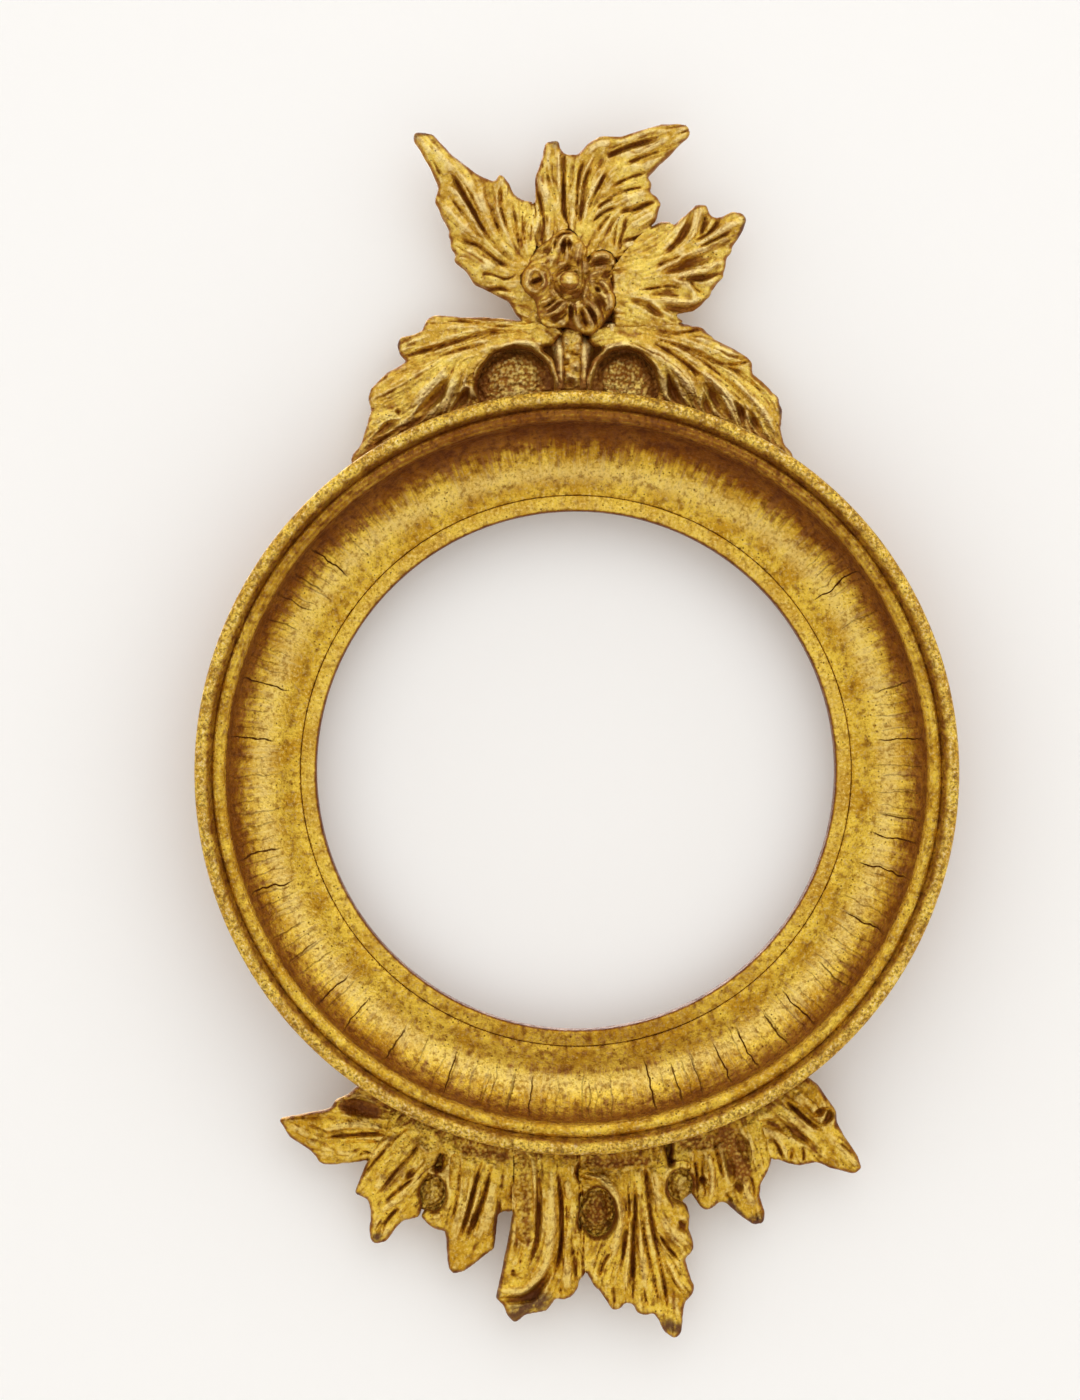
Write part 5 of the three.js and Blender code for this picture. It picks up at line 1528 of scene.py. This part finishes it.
    post: tuple[Stroke, ...] = (
        ridge(0.9, 1.5, (-2.5, 104.6)),
        ridge(0.9, 1.4, (0.3, 103.6)),
        ridge(0.9, 1.3, (-1.9, 101.2)),
        ridge(1.0, 1.4, (-0.2, 98.9)),
        ridge(0.8, 1.2, (-2.2, 97)),
        gouge(1.0, 1.4, (-1.2, 94.8)),
        vee(0.5, 1.2, (-3.2, 102.8), (1.2, 101.4)),
        vee(0.4, 1.0, (-3, 99.2), (-1.6, 99.6)),
        stain_and_shade(1.6, 0.6, (-1.4, 91), (-1.4, 87)),
        punch(3.0, 0.2, (-1, 104)),
    )
    # Painted shadow on the bead's lower side and a painted highlight on its top.
    bead: tuple[Stroke, ...] = (
        stain_and_shade(1.2, 0.7, (-3, 117.9), (-1.6, 117.5), (-0.4, 117.8)),
        rub_and_highlight(1.0, 0.6, (-1.5, 120.5)),
    )
    beside_post: tuple[Stroke, ...] = (
        ridge(2.2, 4.5, (8.6, 110), (8.8, 106.6)),
        ridge(2.0, 4.6, (-3.9, 107), (-3.9, 102), (-3.8, 95), (-3.8, 91)),
        rub_and_highlight(1.6, 0.7, (-3.9, 106), (-3.9, 97)),
        ridge(2.0, 4.6, (2.0, 107), (2.0, 102), (1.9, 95), (1.9, 91)),
        rub_and_highlight(1.6, 0.7, (2.0, 106), (2.0, 97)),
    )
    eyes: tuple[tuple[Point, Point], ...] = (((-14.8, 93.8), (9.4, 9.8)), ((12.0, 93.4), (8.1, 9.8)))
    eye_rim: float = 0.98  # where the cut under an eye's rim lies, as a share of the eye's half widths

    def ground(self) -> tuple[Stroke, ...]:
        """Draws the punched ground that shows in the two eyes, with painted shadow under each eye's rim and a
        painted pool of light on its lower part.

        Returns:
            The strokes.
        """
        strokes: list[Stroke] = []
        for (x, z), (wide, high) in self.eyes:
            upper = arc((x, z), (wide * self.eye_rim, high * self.eye_rim), 205, -5, 7)
            strokes += [
                punch(max(wide, high) + 1, 0.2, (x, z)),
                gouge(1.8, 1.2, *upper),
                # painted shadow that the eye's rim casts on the ground
                stain_and_shade(3.6, 0.95, *upper),
                # a painted pool of light on the lower ground
                rub_and_highlight(6.2, 0.95, (x, z - high * 0.36)),
            ]
        return (*strokes, *self.beside_post)

    def build(self, gilding: Material, bare: Material) -> list[Object]:
        """Carves the crest.

        Args:
            gilding: its finish.
            bare: its backs' finish.

        Returns:
            The pieces.
        """
        round_edged = {"pitch": 0.2, "edge_share": 0.5, "rib_depth": 0.0, "proud": True}
        carvings = [
            Carving("spray_leaf_left", self.left_leaf),
            Carving("spray_leaf_right", self.right_leaf),
            Carving("spray_leaf_centre", self.centre_leaf),
            Carving("shoulder_leaf_left", self.left_shoulder),
            Carving("shoulder_leaf_right", self.right_shoulder),
            Carving(
                "flower",
                self.blossom,
                bulk_blur=3.5,
                edge_round=2.6,
                closing=2.4,
                lump_depth=0.2,
                edge_darkening=0.12,
                **round_edged,
            ),
            Carving("flower_pin", self.bead, bulk_blur=1.4, edge_round=2.3, outline_waver=0.1, **round_edged),
            Board("crest_post", self.post, pitch=0.2, edge_round=0.8),
            Board("crest_ground", self.ground(), pit_stain=0.6),
        ]
        return [carving.build(gilding, bare) for carving in carvings]


# The pendant


@dataclass
class Pendant:
    """The carved pendant: a fan of leaves with three punched bosses between them."""

    far_left: tuple[Stroke, ...] = (
        gouge(2.4, 2.4, (-57, -81.8), (-53, -82.4), (-48, -84)),
        stain_and_shade(2.2, 0.85, (-56, -82), (-53, -82.4), (-49.5, -83.6)),
        vee(0.6, 1.1, (-69.5, -84.9), (-64, -85.1), (-60, -85), (-57.5, -84.2)),
        ridge(1.0, 0.9, (-63, -88.2), (-56, -86.8), (-50, -86.8), (-47, -87.6)),
        vee(0.7, 1.7, (-61, -89.7), (-55, -89.3), (-50, -88.9), (-46.5, -89.2)),
        vee(0.5, 1.2, (-57.5, -90.7), (-51, -90.6), (-46.5, -91)),
        ridge(1.6, 0.8, (-63, -92.5), (-58, -93.3), (-53.5, -93.8)),
        vee(0.5, 1.1, (-53.2, -94.2), (-51.6, -93.3), (-50.2, -93.6)),
        vee(0.6, 0.7, (-66, -86.4), (-62.5, -87.8), (-60, -89.4)),
        ridge(1.8, 0.7, (-70, -86.6), (-66, -89.2), (-62, -91)),
        gouge(1.4, 1.5, (-47, -91.6), (-44, -89.4)),
    )
    left: tuple[Stroke, ...] = (
        vee(0.6, 1.5, (-40, -86.8), (-45, -90.8), (-49.5, -96), (-52, -99.4)),
        ridge(0.7, 0.9, (-43.5, -88.6), (-47.5, -91.9), (-50, -95)),
        punch(1.8, 0.8, (-42, -90.2), (-45.4, -92.2)),
        vee(0.7, 1.7, (-36.8, -88.8), (-40.2, -93.8), (-44, -98.2), (-48, -103.6)),
        ridge(0.6, 0.9, (-41, -95.6), (-45, -100), (-47.6, -103.6)),
        gouge(1.0, 1.4, (-39.5, -97), (-41.8, -100.4)),
        vee(0.6, 1.4, (-39.5, -99.5), (-43, -102.2), (-46.6, -105.4)),
        ridge(1.6, 0.8, (-46.6, -98), (-49.5, -102.5)),
        ridge(1.5, 0.8, (-38, -98.6), (-42.6, -103.6), (-47.4, -107.5)),
        vee(0.7, 1.5, (-43.2, -106.8), (-45.8, -109.4), (-47.4, -112)),
        gouge(0.9, 1.0, (-47, -110), (-48.8, -114)),
        stain_and_shade(2.2, 0.4, (-38.6, -91), (-42, -95.4), (-46, -101)),
        punch(2.6, 0.7, (-36.5, -91), (-34, -95)),
        ridge(0.6, 0.6, (-39, -90.6), (-36, -93.6)),
        wear(1.4, 1, (-48.6, -114)),
        wear(0.8, 1, (-53.6, -103.8)),
    )
    mid_left: tuple[Stroke, ...] = (
        vee(0.7, 1.4, (-28.2, -94), (-28.6, -100), (-29.2, -105), (-30.2, -110.5)),
        vee(0.7, 1.9, (-22.8, -95), (-24.6, -101), (-26.2, -107), (-28.6, -115.4)),
        ridge(0.6, 0.8, (-25, -98), (-26.6, -105), (-28.6, -113)),
        vee(0.8, 1.9, (-20.4, -96), (-22, -102.6), (-24, -108.4), (-27, -115)),
        ridge(0.6, 0.7, (-23.4, -101), (-25, -107.4), (-27.4, -114)),
        ridge(1.5, 0.9, (-20.6, -100), (-22, -108), (-24, -115.4)),
        gouge(0.8, 1.6, (-18.8, -103.6), (-19, -110), (-19.8, -116.6)),
        ridge(1.5, 0.7, (-27, -99), (-28.4, -107), (-30, -115.6)),
        gouge(1.2, 1.1, (-31, -93.4), (-33.5, -97.4)),
        punch(2.0, 0.4, (-27, -93), (-22, -94), (-17.5, -94.8)),
        stain_and_shade(1.8, 0.55, (-27, -92.6), (-22, -93.6), (-17.5, -94.4)),
        ridge(1.8, 0.7, (-35, -109.6), (-32.8, -109)),
        punch(1.4, 0.8, (-29.4, -95), (-29.6, -101)),
    )
    centre_left: tuple[Stroke, ...] = (
        punch(2.4, 1.5, (-13.4, -96), (-12.6, -104), (-12.2, -113)),
        stain_and_shade(1.5, 0.5, (-13, -95), (-12.4, -104), (-12, -115)),
        gouge(0.9, 2.1, (-9.2, -95.4), (-9.1, -103), (-9.2, -110), (-9.8, -116), (-11.8, -121.2)),
        ridge(
            1.4, 1.5, (-6.4, -96), (-6, -105), (-6, -112), (-6.9, -118), (-9, -123), (-12, -126.4),
            (-16, -127), (-18.8, -126.4)
        ),
        gouge(0.9, 1.1, (-16, -122.8), (-14.6, -122.6)),
        gouge(1.5, 2.3, (-19, -129.3), (-14.5, -129.2), (-11, -128.2), (-8.3, -125.4), (-6, -121.8)),
        vee(0.8, 1.9, (-4.4, -99), (-3.7, -105), (-3.5, -111), (-3.9, -118), (-5, -123.4)),
        vee(0.5, 1.1, (-2.4, -105), (-2.5, -114.5)),
        ridge(0.8, 0.8, (-2.2, -99.5), (-1.6, -105)),
        ridge(1.1, 1.0, (-2.6, -119), (-2.2, -123), (-2.6, -127)),
        vee(0.5, 1.2, (-0.8, -116), (-0.2, -121), (0, -126)),
        vee(0.5, 1.0, (-4, -124), (-3.8, -128)),
        gouge(1.1, 2.0, (0.4, -96), (1, -101)),
        ridge(1.3, 0.6, (-14, -116), (-15, -121)),
        vee(0.5, 0.9, (-13, -116), (-13.8, -121)),
        wear(2.3, 1, (-15, -132.6), (-8, -129.6)),
        wear(1.0, 1, (-19.4, -128.4)),
    )
    centre_right: tuple[Stroke, ...] = (
        ridge(
            1.1, 1.5, (2.6, -98.8), (6, -99.6), (9, -102.8), (10.6, -107.5), (10.4, -113), (8.8, -118),
            (6.8, -122.4)
        ),
        punch(1.8, 0.4, (3, -96), (8, -96.8), (13, -96.2), (17, -96)),
        stain_and_shade(1.6, 0.6, (3, -95.4), (8, -96.2), (13, -95.6), (17, -95.4)),
        vee(0.6, 1.6, (5.8, -124), (6.8, -120.6), (9.2, -117)),
        vee(0.5, 1.2, (12.6, -100.5), (13, -107), (12.4, -113), (11.6, -118), (10.6, -124.6)),
        vee(0.8, 1.8, (14.2, -99.6), (14.5, -107), (14.1, -114), (14, -121), (13.8, -130)),
        vee(0.8, 1.8, (16.8, -95.6), (17.6, -103), (18.5, -110), (20.1, -118), (21.6, -126), (22.6, -133)),
        vee(0.6, 1.5, (15.6, -107), (17, -115), (18.8, -123), (20.3, -130)),
        vee(0.7, 1.5, (18.9, -112), (21, -118.4), (24.4, -125.6)),
        vee(0.7, 1.8, (20.2, -113), (22.6, -116.8), (25.2, -119.6)),
        ridge(0.7, 0.9, (12.9, -108), (12.9, -115), (12.3, -122), (12, -128)),
        ridge(0.8, 0.8, (15.6, -112), (16.2, -119), (17.2, -127)),
        ridge(0.8, 0.8, (21.5, -119), (24.4, -124), (27, -127)),
        ridge(1.6, 1.1, (20.6, -108), (23.5, -112.6), (27.4, -116.2)),
        gouge(1.3, 1.8, (25.4, -109.8), (27.2, -112.8)),
        ridge(1.0, 0.7, (18.6, -97), (19.6, -103), (20.2, -108)),
        vee(0.5, 1.0, (9.2, -126), (9.4, -130.5)),
        vee(0.5, 0.9, (16.4, -126), (17.6, -131)),
        ridge(0.9, 0.7, (23.4, -128), (24.6, -133)),
        vee(0.5, 1.0, (23.6, -99), (22.4, -103), (24.8, -107.6)),
        wear(1.8, 1, (22.6, -135.4), (25, -136.2)),
    )
    mid_right: tuple[Stroke, ...] = (
        gouge(1.0, 2.0, (30.8, -99), (31.2, -101.4)),
        ridge(0.9, 0.9, (31, -92), (32.8, -96), (33.6, -101), (32.8, -105)),
        vee(0.6, 1.3, (28.6, -94), (29.6, -99), (29.8, -103)),
        punch(2.6, 0.4, (27, -91.6), (33, -91.8), (38, -92)),
        stain_and_shade(2.4, 0.55, (27, -90.8), (33, -90.8), (38, -91)),
        ridge(0.5, 0.6, (27.6, -92), (29, -96)),
        vee(0.6, 1.4, (33.6, -90), (35, -95), (36, -99.6)),
    )
    right: tuple[Stroke, ...] = (
        gouge(1.4, 2.6, (39, -88), (41, -92), (42.6, -97.6)),
        punch(3.0, 0.4, (38, -90), (40, -95), (41, -98)),
        stain_and_shade(3.6, 0.65, (37, -89), (39, -94), (40.6, -98)),
        gouge(1.3, 2.2, (36, -92), (37.6, -96.6), (38.4, -101)),
        ridge(0.6, 0.8, (34.8, -90), (36.4, -96), (37.6, -101.6)),
        ridge(1.4, 1.0, (41.2, -99.6), (42, -103), (43.4, -107)),
        vee(0.5, 1.2, (42.6, -98.8), (43.4, -101.6), (43.8, -105)),
        gouge(0.9, 1.6, (39.4, -100), (40.4, -103.6)),
        wear(1.5, 1, (43.2, -110.2), (45.4, -109.8)),
        wear(0.8, 1, (37.6, -105.6), (40.8, -109)),
        vee(0.6, 1.4, (36.6, -103.2), (38.4, -105.6)),
    )
    far_right: tuple[Stroke, ...] = (
        ridge(1.5, 1.0, (43, -88.2), (44.4, -93), (46, -98)),
        vee(0.5, 1.2, (43, -92), (45, -91), (46.4, -89.6)),
        ridge(0.7, 0.9, (45.6, -87.8), (49.8, -91), (52, -95.2)),
        vee(0.6, 1.4, (47, -88.6), (49.6, -92), (50.6, -95)),
        gouge(1.9, 1.7, (59.2, -82.6), (60.2, -84.4)),
        gouge(0.9, 2.2, (61.8, -82), (62, -84.6), (60.4, -86.6)),
        vee(0.7, 1.8, (51, -80.6), (54, -83.2), (57, -86), (60.4, -87.8)),
        ridge(0.7, 0.9, (50, -81.6), (54.5, -85.4), (59, -88.6)),
        gouge(1.1, 1.9, (47.6, -83.6), (52, -87.4), (56.4, -90.6), (60, -93.4)),
        gouge(1.4, 2.0, (44, -86), (49, -86.6), (53, -89.6)),
        vee(0.5, 1.1, (53, -92), (52.6, -95.4)),
        vee(0.5, 1.1, (55.6, -91.6), (55.8, -95.6)),
        ridge(0.9, 0.9, (61.4, -88.6), (65, -92.6), (69, -96.6)),
        ridge(0.7, 0.7, (55, -90.2), (58.6, -92.8), (62, -95)),
        vee(0.5, 1.0, (64.4, -91), (66.4, -92.6), (67.6, -94.4)),
        ridge(1.2, 0.7, (53, -79.6), (57, -81.6)),
        wear(0.9, 1, (64, -84.4), (67, -90.4)),
    )
    bosses: tuple[tuple[Point, float, float], ...] = (
        ((-35.0, -103.6), 4.4, 0.25),
        ((5.3, -108.3), 6.3, 0.62),
        ((25.6, -101.4), 3.9, 0.12),
    )  # the middle of each, millimetres from there to its end, and how much umber lies on it

    def ground(self) -> tuple[Stroke, ...]:
        """Draws the punched ground that shows between the leaves.

        Returns:
            The strokes.
        """
        grains = [punch(reach + 1, 0.7, middle) for middle, reach, _ in self.bosses]
        stains = [stain_and_shade(reach, dark, middle) for middle, reach, dark in self.bosses]
        return (*grains, *stains)

    def build(self, gilding: Material, bare: Material) -> list[Object]:
        """Carves the pendant.

        Args:
            gilding: its finish.
            bare: its backs' finish.

        Returns:
            The pieces.
        """
        leaves = {
            "far_left": self.far_left,
            "left": self.left,
            "mid_left": self.mid_left,
            "centre_left": self.centre_left,
            "centre_right": self.centre_right,
            "mid_right": self.mid_right + self.right,
            "far_right": self.far_right,
        }
        carvings = [Carving(f"pendant_leaf_{name}", strokes) for name, strokes in leaves.items()]
        carvings.append(Board("pendant_ground", self.ground(), pit_stain=0.25))
        return [carving.build(gilding, bare) for carving in carvings]


# Fixings


@dataclass
class Fixings:
    """The battens, screws and hanger at the back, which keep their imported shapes."""

    edge_softening: float = 0.15  # mm, the worn edges of wood and metal
    sharpest: float = 40.0  # degrees between two faces, from which their edge counts as worn

    def dress(self, node: str, material: Material) -> Object:
        """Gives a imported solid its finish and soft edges.

        Args:
            node: its name.
            material: the finish.

        Returns:
            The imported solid.
        """
        solid = PACKED[node]
        solid.data.materials.clear()
        solid.data.materials.append(material)
        bevel = solid.modifiers.new("soft_edges", "BEVEL")
        bevel.width = self.edge_softening * MM
        bevel.segments = 2
        bevel.limit_method = "ANGLE"
        bevel.angle_limit = math.radians(self.sharpest)
        return solid

    def build(self, wood: Material, brass: Material, steel: Material) -> list[Object]:
        """Dresses the fixings.

        Args:
            wood: the battens' finish.
            brass: the hanger's finish.
            steel: the screws' finish.

        Returns:
            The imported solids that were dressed.
        """
        screws = [f"{side}_screw_{number}" for side in ("crest", "pendant") for number in range(1, 5)]
        finishes = {
            wood: ["crest_batten", "pendant_batten"],
            brass: ["hanger_strap", "hanger_ring"],
            steel: ["hanger_screw", *screws],
        }
        return [self.dress(node, material) for material, nodes in finishes.items() for node in nodes]


# The studio


@dataclass
class Studio:
    """The camera, a pale wall behind the frame, and soft light from above and in front."""

    camera_away: float = 900.0  # mm from the wall
    camera_aside: float = -18.0
    camera_height: float = 36.0  # above the ring's centre
    pixels_per_mm: float = 4.038  # of the photograph, at the wall
    picture_width: int = 1080
    picture_height: int = 1400
    ring_pixel: Point = (576.0, 771.0)  # where the photograph shows the ring's centre
    ring_front: float = 12.6  # mm from the wall to the front that the pixel was read at
    wall_half: float = 700.0
    wall_gap: float = 0.4
    wall_colour: str = "FCFBFA"
    floor_half: float = 3000.0
    floor_colour: str = "E2DFDB"
    lamp_size: float = 0.9  # metres along the side of its square
    key_place: tuple[float, float, float] = (0.12, -0.9, 0.5)
    key_strength: float = 1.2
    back_place: tuple[float, float, float] = (-0.2, 0.95, 0.35)
    back_strength: float = 7.0
    world_colour: str = "F8F7F5"
    world_strength: float = 1.02

    def place_camera(self) -> Object:
        """Places the camera square to the wall, with the small shift that the photograph's framing has.

        Returns:
            The camera.
        """
        data = bpy.data.cameras.new("camera")
        data.sensor_fit = "HORIZONTAL"
        data.sensor_width = 36.0
        data.lens = data.sensor_width * self.pixels_per_mm * self.camera_away / self.picture_width
        data.clip_start = 0.01
        scale = self.pixels_per_mm * self.camera_away / (self.camera_away - self.ring_front)
        across = self.picture_width / 2 - self.camera_aside * scale - self.ring_pixel[0]
        down = self.picture_height / 2 + self.camera_height * scale - self.ring_pixel[1]
        data.shift_x = across / self.picture_width
        data.shift_y = -down / self.picture_width
        camera = bpy.data.objects.new("camera", data)
        height = RING_CENTRE_HEIGHT + self.camera_height
        camera.location = (self.camera_aside * MM, -self.camera_away * MM, height * MM)
        camera.rotation_euler = (math.radians(90), 0, 0)
        bpy.context.scene.collection.objects.link(camera)
        bpy.context.scene.camera = camera
        return camera

    def build_room(self) -> list[Object]:
        """Builds the pale wall that the frame hangs on, which is clear from behind, and the floor below.

        Returns:
            The wall and the floor.
        """
        half, back, far = self.wall_half, -self.wall_gap, self.floor_half
        wall = [(-half, back, half), (-half, back, -half), (half, back, -half), (half, back, half)]
        floor = [(-far, -far, -half), (-far, far, -half), (far, far, -half), (far, -far, -half)]
        room = []
        for name, corners, colour in (("wall", wall, self.wall_colour), ("floor", floor, self.floor_colour)):
            piece = new_piece(name, in_frame(*np.array(corners, float).T), [(0, 1, 2, 3)])
            piece.data.materials.append(self.paint_coat(f"matt_{name}_paint", colour))
            room.append(piece)
        return room

    def paint_coat(self, name: str, colour: str) -> Material:
        """Makes matt emulsion paint, rolled on, which is pale and even, and clear from behind.

        Args:
            name: the material's name.
            colour: its colour.

        Returns:
            The material.
        """
        material, shader, nodes = new_material(name)
        nodes.fill(shader, {"Base Color": linear(colour), "Roughness": 0.9, "Specular IOR Level": 0.2})
        behind = nodes.add("NewGeometry", output="Backfacing")
        coat = nodes.add("MixShader", {0: behind, 1: shader.outputs[0], 2: nodes.add("BsdfTransparent")})
        nodes.fill(material.node_tree.nodes["Material Output"], {"Surface": coat})
        return material

    def build_world(self) -> None:
        """Makes the room's soft light, a little darker straight in front and below."""
        world = bpy.data.worlds.new("studio")
        world.use_nodes = True
        bpy.context.scene.world = world
        nodes = Nodes(world.node_tree)
        way = nodes.add("TexCoord", output="Generated")
        from_wall, up = (nodes.add("SeparateXYZ", {"Vector": way}, axis) for axis in ("Y", "Z"))
        height = nodes.ramp(up, -0.7, 0.7, 0.78, 1.1)
        ahead = nodes.ramp(from_wall, -0.95, -0.5, 0.72, 1.22)
        both = nodes.product(height, ahead)
        light = nodes.add("Math", {"operation": "MULTIPLY", 0: both, 1: self.world_strength})
        background = world.node_tree.nodes["Background"]
        nodes.fill(background, {"Color": linear(self.world_colour), "Strength": light})

    def add_lamp(self, name: str, place: tuple[float, float, float], power: float) -> Object:
        """Adds a soft square lamp that faces the middle of the frame.

        Args:
            name: the lamp's name.
            place: where it stands, in metres.
            power: its power in watts.

        Returns:
            The lamp.
        """
        data = bpy.data.lights.new(name, "AREA")
        data.shape = "SQUARE"
        data.size = self.lamp_size
        data.energy = power
        lamp = bpy.data.objects.new(name, data)
        lamp.location = place
        middle = Vector((0, -0.01, RING_CENTRE_HEIGHT * MM))
        lamp.rotation_euler = (middle - lamp.location).to_track_quat("-Z", "Y").to_euler()
        bpy.context.scene.collection.objects.link(lamp)
        return lamp

    def build(self) -> list[Object]:
        """Sets up the studio.

        Returns:
            The camera, the wall, the floor and the lamps.
        """
        bpy.context.scene.view_settings.view_transform = "Standard"
        self.build_world()
        room = self.build_room()
        key = self.add_lamp("key", self.key_place, self.key_strength)
        back = self.add_lamp("back", self.back_place, self.back_strength)
        unlit = bpy.data.collections.new("room_unlit_from_behind")
        for shape in room:
            unlit.objects.link(shape)
        for entry in unlit.collection_objects:
            entry.light_linking.link_state = "EXCLUDE"
        back.light_linking.receiver_collection = unlit
        back.light_linking.blocker_collection = unlit
        return [self.place_camera(), *room, key, back]


def main() -> None:
    """Builds the frame's pieces in order and reports each one."""
    logging.basicConfig(level=logging.INFO, format="%(message)s")
    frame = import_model()
    PACKED.update(frame["nodes"])
    studio = Studio().build()
    crest_gilding = Gilding(
        "oil_gilding_rubbed_clean",
        gold="F2D362",
        deep_gold="D2A53C",
        rubbed_and_highlit="FEE8A8",
        thin_wax_and_shade="B48E78",
        thick_wax_and_shade="DACAC4",
        mark_share=0.5,
        mottle_share=0.45,
        fleck_share=0.34,
        blotch=0.45,
        sparkle=0.36,
    ).material()
    pendant_gilding = Gilding(
        "oil_gilding_toned",
        thick_wax_and_shade="D2BEB8",
        mark_share=0.46,
        mottle_share=0.55,
        fleck_share=0.4,
        sparkle=0.45,
    ).material()
    ring_gilding = Gilding("oil_gilding_cracked", cracked=True).material()
    wood = BareWood().material()
    brass = SmallMetal("pressed_brass", "B98F45", "6E5528").material()
    steel = SmallMetal("turned_steel", "8C8A86", "4F463E", roughness=0.42).material()
    pieces = TurnedRing().build(ring_gilding, wood)
    pieces += Crest().build(crest_gilding, wood)
    pieces += Pendant().build(pendant_gilding, wood)
    pieces += Fixings().build(wood, brass, steel)
    for piece in pieces + studio:
        faces = len(piece.data.polygons) if piece.type == "MESH" else 0
        log.info("%s: %d faces", piece.name, faces)


if __name__ == "__main__":
    main()
